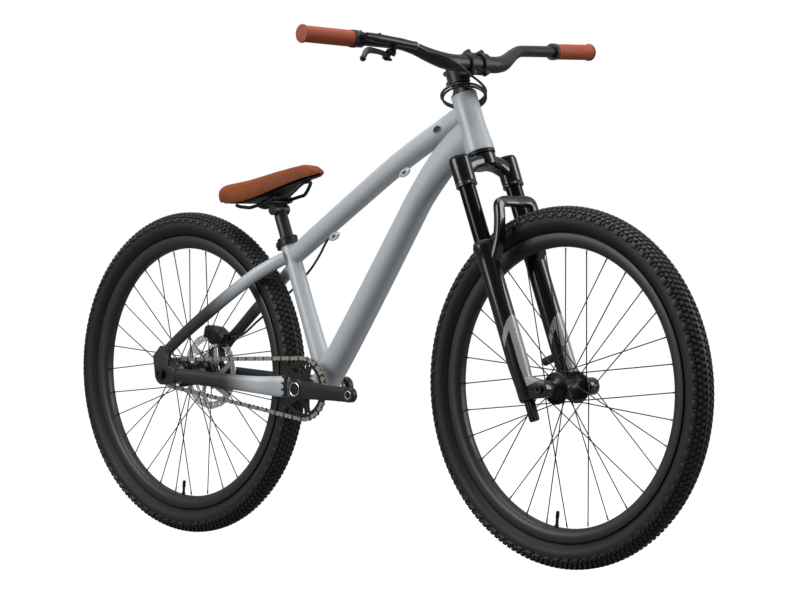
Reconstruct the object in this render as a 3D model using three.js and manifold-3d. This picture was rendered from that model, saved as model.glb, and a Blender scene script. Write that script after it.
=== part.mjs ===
// Dirt jump bike with a rigid rear end, a sprung fork, one speed and one rear disc brake.
// Millimetres, +X forward, +Y to the rider's left, +Z up, origin on the ground midway between the axles.
import * as THREE from 'three';
import { mergeVertices } from 'three/addons/utils/BufferGeometryUtils.js';
import Module from 'manifold-3d';

const wasm = await Module();
wasm.setup();

const V = (x, y, z) => new THREE.Vector3(x, y, z);
const { degToRad, lerp } = THREE.MathUtils;

// Driving dimensions
const wheelbase = 1038;
const tyreOuterRadius = 337;
const headAngle = degToRad(69);
const seatAngle = degToRad(68.5);
const bottomBracketHeight = 316.5;
const headTubeLength = 118;
const forkOffset = 40;
const axleToCrown = 477;
const forkTravel = 100;
const seatTubeTopHeight = 613.8;
const seatTubeTopSetback = 221.7;
const chainPitch = 12.7;
const chainLinks = 84;
const ringTeeth = 30;
const cogTeeth = 14;
const spokeCount = 32;

// Shared fits and round-section finenesses
const gap = 0.3;
const runningGap = 0.35;
const overrun = 6;
const fineSides = 16;
const roundSides = 12;
const smallSides = 8;
const wheelSides = 40;

// The corner radius of a faceted bore that clears a round bar
const clear = (radius, sides = roundSides) => (radius + gap) / Math.cos(Math.PI / sides);

// Finishes
const finish = (color, roughness, metalness) => new THREE.MeshStandardMaterial({ color, roughness, metalness });
const framePaint = finish(0xb9bfc6, 0.45, 0.2);
const darkPaint = finish(0x333438, 0.45, 0.2);
const glossBlack = finish(0x141416, 0.2, 0.2);
const satinBlack = finish(0x1d1d1f, 0.45, 0.4);
const tyreRubber = finish(0x2a2a2c, 0.85, 0);
const brownRubber = finish(0x9a4d34, 0.7, 0);
const brownCover = finish(0x9a5232, 0.6, 0);
const blackPlastic = finish(0x18181a, 0.55, 0);
const steel = finish(0xb4b6b8, 0.3, 0.9);
const chainSteel = finish(0x82796a, 0.4, 0.8);
const chrome = finish(0x3a3b3e, 0.15, 0.9);
const hoseBlack = finish(0x111113, 0.45, 0);

const bike = new THREE.Group();

// Solid tools

// The signed volume of an indexed geometry, positive when its faces point out
function signedVolume(positions, index) {
  let total = 0;
  const a = V(0, 0, 0);
  const b = V(0, 0, 0);
  const c = V(0, 0, 0);
  for (let i = 0; i < index.length; i += 3) {
    a.fromArray(positions, 3 * index[i]);
    b.fromArray(positions, 3 * index[i + 1]);
    c.fromArray(positions, 3 * index[i + 2]);
    total += a.dot(b.cross(c));
  }
  return total;
}

// A closed geometry as a solid for joining and cutting
function toSolid(geometry) {
  const bare = new THREE.BufferGeometry();
  bare.setAttribute('position', geometry.getAttribute('position').clone());
  if (geometry.index) bare.setIndex(geometry.index.clone());
  const merged = mergeVertices(bare);
  const vertProperties = new Float32Array(merged.getAttribute('position').array);
  const triVerts = new Uint32Array(merged.index.array);
  if (signedVolume(vertProperties, triVerts) < 0) triVerts.reverse();
  return new wasm.Manifold(new wasm.Mesh({ numProp: 3, vertProperties, triVerts }));
}

// A solid back as a geometry
function toGeometry(solid) {
  const mesh = solid.getMesh();
  const geometry = new THREE.BufferGeometry();
  geometry.setAttribute('position', new THREE.BufferAttribute(new Float32Array(mesh.vertProperties), 3));
  geometry.setIndex(new THREE.BufferAttribute(new Uint32Array(mesh.triVerts), 1));
  return geometry;
}

function join(...geometries) {
  return toGeometry(geometries.map(toSolid).reduce((all, next) => all.add(next)));
}

function cut(geometry, ...tools) {
  return toGeometry(tools.map(toSolid).reduce((left, tool) => left.subtract(tool), toSolid(geometry)));
}

function overlap(geometry, tool) {
  return toGeometry(toSolid(geometry).intersect(toSolid(tool)));
}

// Shape tools

// A closed skin through rings of points, each end closed by a flat fan
function skin(rings) {
  const count = rings[0].length;
  const positions = rings.flat().flatMap((point) => point.toArray());
  const index = [];
  for (let r = 0; r < rings.length - 1; r += 1) {
    for (let k = 0; k < count; k += 1) {
      const next = (k + 1) % count;
      const here = r * count;
      const there = here + count;
      index.push(here + k, here + next, there + k);
      index.push(here + next, there + next, there + k);
    }
  }
  const last = (rings.length - 1) * count;
  for (let k = 1; k < count - 1; k += 1) {
    index.push(0, k + 1, k);
    index.push(last, last + k, last + k + 1);
  }
  const geometry = new THREE.BufferGeometry();
  geometry.setAttribute('position', new THREE.Float32BufferAttribute(positions, 3));
  geometry.setIndex(index);
  return geometry;
}

// A value read from evenly spaced stations
function along(values, share) {
  const place = share * (values.length - 1);
  const low = Math.min(Math.floor(place), values.length - 2);
  return lerp(values[low], values[low + 1], place - low);
}

// A tube lofted along a smooth path, its high side towards upwards, its corners as square as boxy asks
function tube({ path, high, wide = high, steps, sides = roundSides, upwards = V(0, 0, 1), grow = 0, boxy = 2 }) {
  const curve = new THREE.CatmullRomCurve3(path, false, 'centripetal');
  const rings = [];
  for (let s = 0; s <= steps; s += 1) {
    const share = s / steps;
    const centre = curve.getPoint(share);
    const tangent = curve.getTangent(share);
    const side = V(0, 0, 0).crossVectors(upwards, tangent).normalize();
    const up = V(0, 0, 0).crossVectors(tangent, side).normalize();
    const halfHigh = along(high, share) / 2 + grow;
    const halfWide = along(wide, share) / 2 + grow;
    const ring = [];
    for (let k = 0; k < sides; k += 1) {
      const turn = (2 * Math.PI * (k + 1 / 2)) / sides;
      const acrossShare = Math.sign(Math.cos(turn)) * Math.abs(Math.cos(turn)) ** (2 / boxy);
      const upShare = Math.sign(Math.sin(turn)) * Math.abs(Math.sin(turn)) ** (2 / boxy);
      ring.push(centre.clone().addScaledVector(side, halfWide * acrossShare).addScaledVector(up, halfHigh * upShare));
    }
    rings.push(ring);
  }
  return skin(rings);
}

// A straight round bar between two points
function rod(from, to, startRadius, endRadius = startRadius, sides = roundSides) {
  const tangent = to.clone().sub(from).normalize();
  const upwards = Math.abs(tangent.z) > Math.abs(tangent.x) ? V(1, 0, 0) : V(0, 0, 1);
  return tube({
    path: [from, to],
    high: [2 * startRadius, 2 * endRadius],
    steps: 1,
    sides,
    upwards,
  });
}

// A closed profile of [radius, height] turned about the Y axis
function turned(profile, sides = fineSides) {
  const points = profile.map(([radius, height]) => new THREE.Vector2(radius, height));
  return new THREE.LatheGeometry(points, sides);
}

// The same turned about the Z axis
function turnedUp(profile, sides = fineSides) {
  return turned(profile, sides).rotateX(Math.PI / 2);
}

// A ring about the Y axis, from one height to another
function ringProfile(innerRadius, outerRadius, low, high) {
  return [[innerRadius, low], [outerRadius, low], [outerRadius, high], [innerRadius, high], [innerRadius, low]];
}

function discProfile(radius, low, high) {
  return [[0, low], [radius, low], [radius, high], [0, high]];
}

// An outline of X and Z points, with its holes, given a thickness along Y about a middle
function sidePlate(outline, thickness, middle, holes = []) {
  const shape = new THREE.Shape(outline.map(([x, z]) => new THREE.Vector2(x, z)));
  shape.holes = holes.map((hole) => new THREE.Path(hole.map(([x, z]) => new THREE.Vector2(x, z))));
  const plate = new THREE.ExtrudeGeometry(shape, { depth: thickness, bevelEnabled: false });
  return plate.rotateX(Math.PI / 2).translate(0, middle + thickness / 2, 0);
}

// Points round part of a circle in the X and Z plane
function arc(centreX, centreZ, radius, start, end, steps) {
  return Array.from({ length: steps + 1 }, (_, k) => {
    const turn = lerp(start, end, k / steps);
    return [centreX + radius * Math.cos(turn), centreZ + radius * Math.sin(turn)];
  });
}

// A box between two corners
function block(low, high) {
  const size = high.clone().sub(low);
  const middle = low.clone().add(high).divideScalar(2);
  return new THREE.BoxGeometry(size.x, size.y, size.z).translate(middle.x, middle.y, middle.z);
}

const mirrored = (points) => points.map((point) => V(point.x, -point.y, point.z));

// Adds one named piece to a group, its vertices merged and its faces turned outwards
function piece(group, name, material, geometry) {
  const mesh = new THREE.Mesh(toGeometry(toSolid(geometry)), material);
  mesh.name = name;
  group.add(mesh);
}

// Frame geometry worked out from the driving dimensions
const rearAxle = V(-wheelbase / 2, 0, tyreOuterRadius);
const frontAxle = V(wheelbase / 2, 0, tyreOuterRadius);
const steerUp = V(-Math.cos(headAngle), 0, Math.sin(headAngle));
const steerForward = V(Math.sin(headAngle), 0, Math.cos(headAngle));
const lowerCupHeight = 7;
const headBottom = frontAxle.clone()
  .addScaledVector(steerForward, -forkOffset)
  .addScaledVector(steerUp, axleToCrown + lowerCupHeight);
const steerTilt = headAngle - Math.PI / 2;
const steerPlace = new THREE.Matrix4().makeRotationY(steerTilt).setPosition(headBottom);
const headPoint = (share) => headBottom.clone().addScaledVector(steerUp, share * headTubeLength);
const seatUp = V(-Math.cos(seatAngle), 0, Math.sin(seatAngle));
const seatTop = V(-seatTubeTopSetback, 0, seatTubeTopHeight);
const seatPlace = new THREE.Matrix4().makeRotationY(seatAngle - Math.PI / 2).setPosition(seatTop);

// Chain line: the distance between ring and cog at which the loop closes on whole links
const ringPitchRadius = chainPitch / (2 * Math.sin(Math.PI / ringTeeth));
const cogPitchRadius = chainPitch / (2 * Math.sin(Math.PI / cogTeeth));
const wrapAngle = (centres) => Math.asin((ringPitchRadius - cogPitchRadius) / centres);

function linksFor(centres) {
  const lean = wrapAngle(centres);
  const straight = (2 * centres * Math.cos(lean)) / chainPitch;
  return straight + (ringTeeth * (Math.PI + 2 * lean) + cogTeeth * (Math.PI - 2 * lean)) / (2 * Math.PI);
}

function centresFor(links) {
  let low = ringPitchRadius + cogPitchRadius;
  let high = links * chainPitch;
  for (let tries = 0; tries < 60; tries += 1) {
    const middle = (low + high) / 2;
    if (linksFor(middle) < links) low = middle;
    else high = middle;
  }
  return low;
}

const chainCentres = centresFor(chainLinks);
const axleRise = tyreOuterRadius - bottomBracketHeight;
const bottomBracket = V(rearAxle.x + Math.sqrt(chainCentres ** 2 - axleRise ** 2), 0, bottomBracketHeight);
const chainTilt = Math.atan2(axleRise, bottomBracket.x - rearAxle.x);

// Head tube, tapered, with a tapered bore for the steerer and its bearings
const headTube = { topRadius: 24.8, waistRadius: 24.4, bottomRadius: 27.8, bottomBand: 14, wall: 4.2 };

function headTubeOuter(grow, reach) {
  const { topRadius, waistRadius, bottomRadius, bottomBand } = headTube;
  return turnedUp([
    [0, -reach],
    [bottomRadius + grow, -reach],
    [bottomRadius + grow, bottomBand],
    [waistRadius + grow, headTubeLength / 2],
    [topRadius + grow, headTubeLength + reach],
    [0, headTubeLength + reach],
  ]);
}

function headTubeSolid() {
  const { topRadius, bottomRadius, wall } = headTube;
  const bore = turnedUp([
    [0, -overrun],
    [bottomRadius - wall, -overrun],
    [bottomRadius - wall, headTube.bottomBand],
    [topRadius - wall, headTubeLength + overrun],
    [0, headTubeLength + overrun],
  ]);
  return cut(headTubeOuter(0, 0), bore);
}

// A tube's path between two points: shares of the span along it, above it and to its side
function spanPath(from, to, shares) {
  const span = to.clone().sub(from);
  const length = span.length();
  const above = V(-span.z, 0, span.x).normalize();
  return shares.map(([alongShare, riseShare, sideShare = 0]) => from.clone()
    .addScaledVector(span, alongShare)
    .addScaledVector(above, riseShare * length)
    .addScaledVector(V(0, 1, 0), sideShare * length));
}

// Down tube: straight from the bracket shell, then bent forward under the top tube
const downTube = {
  wall: 2.4,
  headShare: 0.42,
  pathShares: [[0, -0.004], [0.16, 0.001], [0.39, 0.015], [0.6, 0.03], [0.72, 0.0375], [0.86, 0.03], [1, 0]],
  high: [56, 55, 54, 52, 52, 60, 68],
  wide: [52, 52, 51, 50, 49, 46, 42],
};
const downTubeSolid = (grow) => tube({
  path: spanPath(bottomBracket, headPoint(downTube.headShare), downTube.pathShares),
  high: downTube.high,
  wide: downTube.wide,
  steps: 9,
  grow,
  boxy: 2.3,
});

// Seat tube, bored for the seatpost, its foot just ahead of the bracket shell
const seatTube = { radius: 17.2, postRadius: 13.6, boreDepth: 186, footRadius: 20 };
const seatTubeLength = seatTop.clone().sub(bottomBracket).dot(seatUp);
const seatPoint = (down) => seatTop.clone().addScaledVector(seatUp, -down);
const seatTubeOuter = (grow) => tube({
  path: [seatPoint(seatTubeLength), seatPoint(seatTubeLength / 2), seatPoint(-grow)],
  high: [2 * seatTube.footRadius, 2 * seatTube.radius, 2 * seatTube.radius],
  steps: 4,
  grow,
  upwards: V(1, 0, 0),
});
const seatTubeBore = () => rod(
  seatPoint(seatTube.boreDepth),
  seatPoint(-overrun),
  clear(seatTube.postRadius, fineSides),
  clear(seatTube.postRadius, fineSides),
  fineSides,
);

// Top tube: shallow at the head, level-sided, meeting the seat tube low
const topTube = {
  wall: 2.2,
  headShare: 0.7,
  seatDrop: 40,
  pathShares: [[0, 0], [0.16, 0.006], [0.37, 0.013], [0.66, 0.019], [0.88, 0.008], [1, 0]],
  high: [35, 37, 38, 39, 40, 42],
  wide: [31, 33, 36, 39, 41, 42],
};
const topTubeSolid = (grow) => tube({
  path: spanPath(seatPoint(topTube.seatDrop), headPoint(topTube.headShare), topTube.pathShares),
  high: topTube.high,
  wide: topTube.wide,
  steps: 7,
  grow,
  boxy: 2.7,
});

// Bottom bracket shell, with the bearing cups pressed into its ends
const bracketShell = { radius: 22, halfWidth: 36.5, boreRadius: 20.5 };
const bracketCup = { radius: 20, flangeRadius: 22.5, flange: 5.5, depth: 12, boreRadius: 12.8 };
const shellOuter = (grow) => turned(discProfile(
  bracketShell.radius + grow,
  -bracketShell.halfWidth - grow,
  bracketShell.halfWidth + grow,
)).translate(bottomBracket.x, 0, bottomBracket.z);

function bracketShellSolid() {
  const { boreRadius, halfWidth } = bracketShell;
  const bore = turned(discProfile(boreRadius, -halfWidth - overrun, halfWidth + overrun));
  return cut(shellOuter(0), bore.translate(bottomBracket.x, 0, bottomBracket.z));
}

function bracketCupSolid(side) {
  const { radius, flangeRadius, flange, depth, boreRadius } = bracketCup;
  const face = bracketShell.halfWidth + gap;
  const profile = [
    [boreRadius, face - depth],
    [radius, face - depth],
    [radius, face],
    [flangeRadius, face],
    [flangeRadius, face + flange],
    [boreRadius, face + flange],
    [boreRadius, face - depth],
  ].map(([r, y]) => [r, side * y]);
  return turned(profile).translate(bottomBracket.x, 0, bottomBracket.z);
}

// Rear ends: a plate on each side, with the axle bore, that the stays are welded to
const dropout = { inner: 70.5, outer: 80, radius: 23, noseLength: 36, topLength: 56, topAngle: degToRad(82), back: 28, backRise: 36 };
const rearThruRadius = 6;

function dropoutOutline(grow) {
  const { radius, noseLength, topLength, topAngle, back, backRise } = dropout;
  const r = radius + grow;
  const nose = noseLength + grow;
  const top = topLength + grow;
  const topDirection = [Math.cos(topAngle), Math.sin(topAngle)];
  const round = arc(0, 0, r, Math.PI, (3 * Math.PI) / 2, 4);
  const place = ([x, z]) => [rearAxle.x + x, rearAxle.z + z];
  return [
    [-back - grow, backRise],
    ...round,
    [nose, -r * 0.86],
    [nose + r * 0.3, r * 0.45],
    [r * 0.75, r * 0.75],
    [top * topDirection[0] + r * 0.7, top * topDirection[1]],
    [top * topDirection[0] - r * 0.55, top * topDirection[1] + r * 0.1],
  ].map(place);
}

const dropoutPlate = (side, grow) => sidePlate(
  dropoutOutline(grow),
  dropout.outer - dropout.inner + 2 * grow,
  (side * (dropout.inner + dropout.outer)) / 2,
);

// Chainstays: flat and deep behind the bracket shell, oval where they run back to the rear ends
const chainstay = {
  endSetback: 18,
  pathShares: [[0, 0, 0.194], [0.2, -0.004, 0.183], [0.52, -0.006, 0.168], [0.69, -0.007, 0.143], [0.8, -0.006, 0.105],
    [0.92, 0, 0.094]],
  high: [26, 29, 31, 36, 43, 42],
  wide: [15, 16, 16, 15, 13, 13],
};
const chainstaySolid = (side, grow) => tube({
  path: spanPath(rearAxle.clone().add(V(chainstay.endSetback, 0, 0)), bottomBracket, chainstay.pathShares.map(
    ([a, rise, out]) => [a, rise, side * out],
  )),
  high: chainstay.high,
  wide: chainstay.wide,
  steps: 9,
  sides: smallSides,
  grow,
  boxy: 2.8,
});

function rearEndSolid(side) {
  const bore = rod(
    V(rearAxle.x, side * (dropout.inner - overrun), rearAxle.z),
    V(rearAxle.x, side * (dropout.outer + overrun), rearAxle.z),
    clear(rearThruRadius),
  );
  return cut(join(chainstaySolid(side, 0), dropoutPlate(side, 0)), bore, shellOuter(gap));
}

// Seatstays: bowed out round the tyre from the seat tube to the rear ends
const seatstay = {
  seatDrop: 38,
  plateRise: 47,
  plateForward: 11,
  pathShares: [[0, 0, 0.209], [0.16, 0.004, 0.208], [0.36, 0.01, 0.186], [0.62, 0.014, 0.152], [0.8, 0.011, 0.122],
    [0.92, 0.005, 0.08], [0.99, 0, 0.045]],
  high: [24, 25, 26, 26, 26, 26, 25],
  wide: [12, 12, 15, 17, 18, 19, 20],
};
const seatstayTube = (side, grow) => tube({
  path: spanPath(
    rearAxle.clone().add(V(seatstay.plateForward, 0, seatstay.plateRise)),
    seatPoint(seatstay.seatDrop),
    seatstay.pathShares.map(([a, rise, out]) => [a, rise, side * out]),
  ),
  high: seatstay.high,
  wide: seatstay.wide,
  steps: 9,
  sides: smallSides,
  grow,
  boxy: 2.5,
});
const seatstaySolid = (side) => cut(
  seatstayTube(side, 0),
  seatTubeOuter(gap),
  topTubeSolid(gap),
  dropoutPlate(side, gap),
  block(V(seatTop.x - seatTube.radius, -gap, 0), V(seatTop.x + headTubeLength, gap, seatTop.z)),
);

// Hose loops round the head of the frame, in the steering frame: a tilted coil of two turns and a bit
const loop = {
  radius: 41, radiusSpread: 3, turns: 2.17, start: degToRad(50), middle: 116, tilt: 13, tiltTurn: degToRad(-80), fall: 11.5,
};

function loopPoint(share) {
  const turn = loop.start + share * loop.turns * 2 * Math.PI;
  const radius = loop.radius + loop.radiusSpread * (1 / 2 - share);
  return V(
    radius * Math.cos(turn),
    radius * Math.sin(turn),
    loop.middle + loop.tilt * Math.cos(turn - loop.tiltTurn) + loop.fall * (1 / 2 - share),
  );
}

// A point just off the start or the end of the loops, so far along their run
function loopEnd(share, distance) {
  const nearby = 0.001;
  const here = loopPoint(share);
  const onward = loopPoint(share + nearby).sub(here).normalize();
  return here.addScaledVector(onward, distance);
}

// Brake hose along the frame: a hand-chosen route in the bike's frame, from the loops through the top tube's
// left wall, back inside it, out under its foot and along the left seatstay to the caliper
const hose = { radius: 2.4, sides: 5 };
const hoseStub = 5;
const frameHoseRoute = [
  loopEnd(1, 2 * gap).applyMatrix4(steerPlace), loopEnd(1, hoseStub).applyMatrix4(steerPlace), V(238, 28, 851),
  V(222, 19, 835), V(200, 8, 811), V(150, 4, 782),
  V(0, 4, 690), V(-110, 8, 616), V(-146, 17, 582), V(-186, 30, 553), V(-236, 38, 520), V(-300, 50, 484),
  V(-370, 56, 446), V(-425, 58, 414), V(-457.5, 57.5, 409.5),
];
const frameHoseSteps = 34;

function hoseSolid(points, steps, radius = hose.radius) {
  const curve = new THREE.CatmullRomCurve3(points, false, 'centripetal');
  const section = new THREE.Shape(arc(0, 0, radius, 0, 2 * Math.PI, hose.sides).slice(0, -1)
    .map(([x, y]) => new THREE.Vector2(x, y)));
  return new THREE.ExtrudeGeometry(section, { steps, extrudePath: curve, bevelEnabled: false });
}

const headGroup = new THREE.Group();
headGroup.applyMatrix4(steerPlace);
bike.add(headGroup);
piece(headGroup, 'head_tube', framePaint, headTubeSolid());
piece(bike, 'down_tube', framePaint, cut(
  downTubeSolid(0),
  downTubeSolid(-downTube.wall),
  headTubeOuter(gap, overrun).applyMatrix4(steerPlace),
  shellOuter(gap),
));
piece(bike, 'top_tube', framePaint, cut(
  topTubeSolid(0),
  topTubeSolid(-topTube.wall),
  headTubeOuter(gap, overrun).applyMatrix4(steerPlace),
  downTubeSolid(gap),
  seatTubeOuter(gap),
  hoseSolid(frameHoseRoute, frameHoseSteps, hose.radius + 2 * gap),
));
piece(bike, 'seat_tube', framePaint, cut(seatTubeOuter(0), seatTubeBore(), downTubeSolid(gap), shellOuter(gap)));
piece(bike, 'bottom_bracket_shell', framePaint, bracketShellSolid());
for (const [name, side] of [['left', 1], ['right', -1]]) {
  piece(bike, `${name}_chainstay`, darkPaint, rearEndSolid(side));
  piece(bike, `${name}_seatstay`, darkPaint, seatstaySolid(side));
  piece(bike, `${name}_bottom_bracket_cup`, satinBlack, bracketCupSolid(side));
}

// Seat clamp: a collar round the top of the seat tube, lipped over its end, with a bolt lug behind
const seatClamp = { wall: 3.4, height: 15, lip: 2.4, lugLength: 8, lugWidth: 15, slot: 2 };

function seatClampSolid() {
  const { wall, height, lip, lugLength, lugWidth, slot } = seatClamp;
  const inner = clear(seatTube.radius, fineSides);
  const outer = inner + wall;
  const postBore = clear(seatTube.postRadius, fineSides);
  const ring = turnedUp([
    [inner, gap - height],
    [outer, gap - height],
    [outer, gap + lip],
    [postBore, gap + lip],
    [postBore, gap],
    [inner, gap],
    [inner, gap - height],
  ]);
  const lug = block(V(-outer - lugLength, -lugWidth / 2, gap - height), V(-inner - gap, lugWidth / 2, gap + lip));
  const cutBack = block(V(-outer - lugLength - overrun, -slot / 2, -height - overrun), V(-overrun, slot / 2, overrun));
  return cut(join(ring, lug), cutBack);
}

const seatFrameGroup = new THREE.Group();
seatFrameGroup.applyMatrix4(seatPlace);
bike.add(seatFrameGroup);
piece(seatFrameGroup, 'seat_clamp', satinBlack, seatClampSolid());

// Headset: a lower cup at the foot of the head tube and a coned cover above it
const headset = { steererRadius: 14.3, coneTop: 14, coneTopRadius: 17, lowerBore: 21, upperBore: 15 };
piece(headGroup, 'headset_lower_cup', satinBlack, turnedUp([
  [headset.lowerBore, gap - lowerCupHeight],
  [headTube.bottomRadius - gap, gap - lowerCupHeight],
  [headTube.bottomRadius, -gap],
  [headset.lowerBore, -gap],
  [headset.lowerBore, gap - lowerCupHeight],
]));
piece(headGroup, 'headset_upper_cup', satinBlack, turnedUp([
  [headset.upperBore, headTubeLength + gap],
  [headTube.topRadius, headTubeLength + gap],
  [headTube.topRadius, headTubeLength + 3 * gap],
  [headset.coneTopRadius, headTubeLength + headset.coneTop],
  [headset.upperBore, headTubeLength + headset.coneTop],
  [headset.upperBore, headTubeLength + gap],
]));

// Rear axle: a through bolt with a flanged head on the drive side
const rearBolt = { headRadius: 11.5, headLength: 10, end: 86, socketRadius: 3.6, socketDepth: 5 };

function rearBoltSolid() {
  const { headRadius, headLength, end, socketRadius, socketDepth } = rearBolt;
  const face = dropout.outer + gap;
  const bar = rod(V(0, -face - headLength, 0), V(0, end, 0), rearThruRadius);
  const head = rod(V(0, -face - headLength, 0), V(0, -face, 0), headRadius);
  const nut = rod(V(0, face, 0), V(0, end, 0), headRadius);
  const socket = rod(V(0, -face - headLength - overrun, 0), V(0, -face - headLength + socketDepth, 0), socketRadius,
    socketRadius, 6);
  return cut(join(bar, head, nut), socket).translate(rearAxle.x, 0, rearAxle.z);
}

piece(bike, 'rear_axle', satinBlack, rearBoltSolid());

// Top tube grommet: a rubber plug on the drive side over the unused cable hole
const grommet = { alongShare: 0.795, length: 23, height: 13, depth: 3 };

function grommetSolid() {
  const path = spanPath(seatPoint(topTube.seatDrop), headPoint(topTube.headShare), topTube.pathShares);
  const curve = new THREE.CatmullRomCurve3(path, false, 'centripetal');
  const centre = curve.getPoint(grommet.alongShare);
  const direction = curve.getTangent(grommet.alongShare);
  const face = -along(topTube.wide, grommet.alongShare) / 2 - gap;
  const oval = arc(0, 0, 1, 0, 2 * Math.PI, smallSides).slice(0, -1)
    .map(([x, z]) => [(x * grommet.length) / 2, (z * grommet.height) / 2]);
  return sidePlate(oval, grommet.depth, face - grommet.depth / 2)
    .rotateY(-Math.atan2(direction.z, direction.x))
    .translate(centre.x, 0, centre.z);
}

piece(bike, 'top_tube_grommet', blackPlastic, cut(grommetSolid(), topTubeSolid(gap)));

// Wheels

// The rim is as deep as its shares of the tyre's height make it, and the valve hole clears the valve
const tyre = { height: 52, roundness: 0.5385, wall: 4, beadWall: 3.5 };
const tubeRadius = tyre.height * tyre.roundness;
const rimDepth = tyre.height / 2;
const wellDepth = 0.42 * rimDepth;
const rim = { outerRadius: tyreOuterRadius - tyre.height, width: 31, wellWidth: 22, noseWidth: 12 };
const rimWellRadius = rim.outerRadius - wellDepth;
const rimInnerRadius = rim.outerRadius - rimDepth;
const beadRadius = rimWellRadius + 6 * gap;
const valve = { radius: 3, length: 44 };
const spoke = { radius: 1.2, crossings: 3, tipGap: 0.12 };

// The valve stands halfway between two neighbouring spokes
const valveTurn = Math.PI / spokeCount;

// Tyre casing: an open horseshoe round the rim, its beads between the rim walls
function tyreSolid() {
  const crown = tyreOuterRadius - tubeRadius;
  const half = rim.wellWidth / 2 - gap;
  const lip = rim.outerRadius + gap;
  const innerRadius = tubeRadius - tyre.wall;
  const mouth = -Math.acos((half - tyre.beadWall) / innerRadius);
  const flank = degToRad(-54);
  const outer = arc(0, crown, tubeRadius, flank, Math.PI - flank, 7);
  const inner = arc(0, crown, innerRadius, Math.PI - mouth, mouth, 4);
  const foot = [[-half, lip], [-half, beadRadius], [tyre.beadWall - half, beadRadius]];
  const otherFoot = foot.map(([y, r]) => [-y, r]).reverse();
  const profile = [...outer, ...foot, ...inner, ...otherFoot].map(([y, r]) => [r, y]);
  profile.push(profile[0]);
  return turned(profile, wheelSides).rotateY(Math.PI / 2);
}

function rimSolid() {
  const { outerRadius, width, wellWidth, noseWidth } = rim;
  const half = [
    [rimWellRadius, 0],
    [rimWellRadius, wellWidth / 2],
    [outerRadius, wellWidth / 2],
    [outerRadius, width / 2],
    [outerRadius - rimDepth / 2, width / 2],
    [rimInnerRadius, noseWidth / 2],
  ];
  const other = half.slice(1).map(([r, y]) => [r, -y]).reverse();
  const profile = [...half, ...other, half[0]];
  const holeRadius = valve.radius + gap;
  const hole = rod(V(0, 0, overrun - rimInnerRadius), V(0, 0, -rimWellRadius - overrun), holeRadius, holeRadius,
    smallSides);
  return cut(turned(profile, wheelSides), hole.rotateY(valveTurn));
}

// Valve stem with its collar, standing in from the rim hole at the foot of the wheel
function valveSolid() {
  const foot = -rimWellRadius - gap;
  const stem = rod(V(0, 0, foot), V(0, 0, foot + valve.length), valve.radius, valve.radius, smallSides);
  const cap = rod(V(0, 0, foot + valve.length * 0.78), V(0, 0, foot + valve.length + gap), valve.radius * 1.25,
    valve.radius, smallSides);
  return join(stem, cap).rotateY(valveTurn);
}

// Spokes laced across one flange: each leaves its flange hole at a slant and meets the rim between the others
function spokes(hub) {
  const perFlange = spokeCount / 2;
  const rimRadius = rimInnerRadius * Math.cos(Math.PI / wheelSides) - gap - spoke.tipGap;
  const lean = (2 * Math.PI * spoke.crossings) / perFlange;
  const all = [];
  for (const [flange, side] of [[hub.leftFlange, 1], [hub.rightFlange, -1]]) {
    for (let k = 0; k < perFlange; k += 1) {
      const pull = k % 2 === 0 ? 1 : -1;
      const sideShift = side > 0 ? 0 : (2 * Math.PI) / spokeCount;
      const rimTurn = (2 * Math.PI * (k + 1 / 2)) / perFlange + sideShift;
      const hubTurn = rimTurn + pull * lean;
      const offset = pull * hub.flangeWidth * 0.35;
      const from = V(
        hub.spokeCircle * Math.cos(hubTurn),
        flange + offset,
        hub.spokeCircle * Math.sin(hubTurn),
      );
      const to = V(rimRadius * Math.cos(rimTurn), 0, rimRadius * Math.sin(rimTurn));
      all.push(rod(from, to, spoke.radius, spoke.radius, 3));
    }
  }
  return all;
}

// Hub shell with two flanges, turned about the axle with its spokes laced in
function hubSolid(hub) {
  const { end, barrel, flangeRadius, flangeWidth, endRadius, bore, leftFlange, rightFlange, shoulder } = hub;
  const w = flangeWidth / 2;
  const profile = [
    [bore, -end.right],
    [endRadius, -end.right],
    [endRadius, rightFlange - shoulder],
    [barrel * 1.15, rightFlange - w],
    [flangeRadius, rightFlange - w],
    [flangeRadius, rightFlange + w],
    [barrel, rightFlange + shoulder],
    [barrel, leftFlange - shoulder],
    [flangeRadius, leftFlange - w],
    [flangeRadius, leftFlange + w],
    [barrel * 1.15, leftFlange + w],
    [endRadius, leftFlange + shoulder],
    [endRadius, end.left],
    [bore, end.left],
    [bore, -end.right],
  ];
  return join(turned(profile, fineSides), ...spokes(hub));
}

// The two hubs, each running on its own axle
const frontAxleRadius = 7.5;
const frontHub = {
  end: { left: 49.7, right: 49.7 }, barrel: 16, flangeRadius: 30, flangeWidth: 5, endRadius: 12, shoulder: 11,
  bore: clear(frontAxleRadius, fineSides), leftFlange: 29, rightFlange: -29, spokeCircle: 27,
};
const rearHub = {
  end: { left: 54, right: 29 }, barrel: 20, flangeRadius: 30, flangeWidth: 5, endRadius: 20, shoulder: 9,
  bore: clear(rearThruRadius, fineSides), leftFlange: 33, rightFlange: -19, spokeCircle: 27,
};

function addWheel(label, place, hub) {
  const wheel = new THREE.Group();
  wheel.position.copy(place);
  piece(wheel, `${label}_tyre`, tyreRubber, tyreSolid());
  piece(wheel, `${label}_rim`, satinBlack, rimSolid());
  piece(wheel, `${label}_hub_and_spokes`, satinBlack, hubSolid(hub));
  piece(wheel, `${label}_valve`, blackPlastic, valveSolid());
  bike.add(wheel);
  return wheel;
}

addWheel('front', frontAxle, frontHub);
const rearWheel = addWheel('rear', rearAxle, rearHub);

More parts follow.
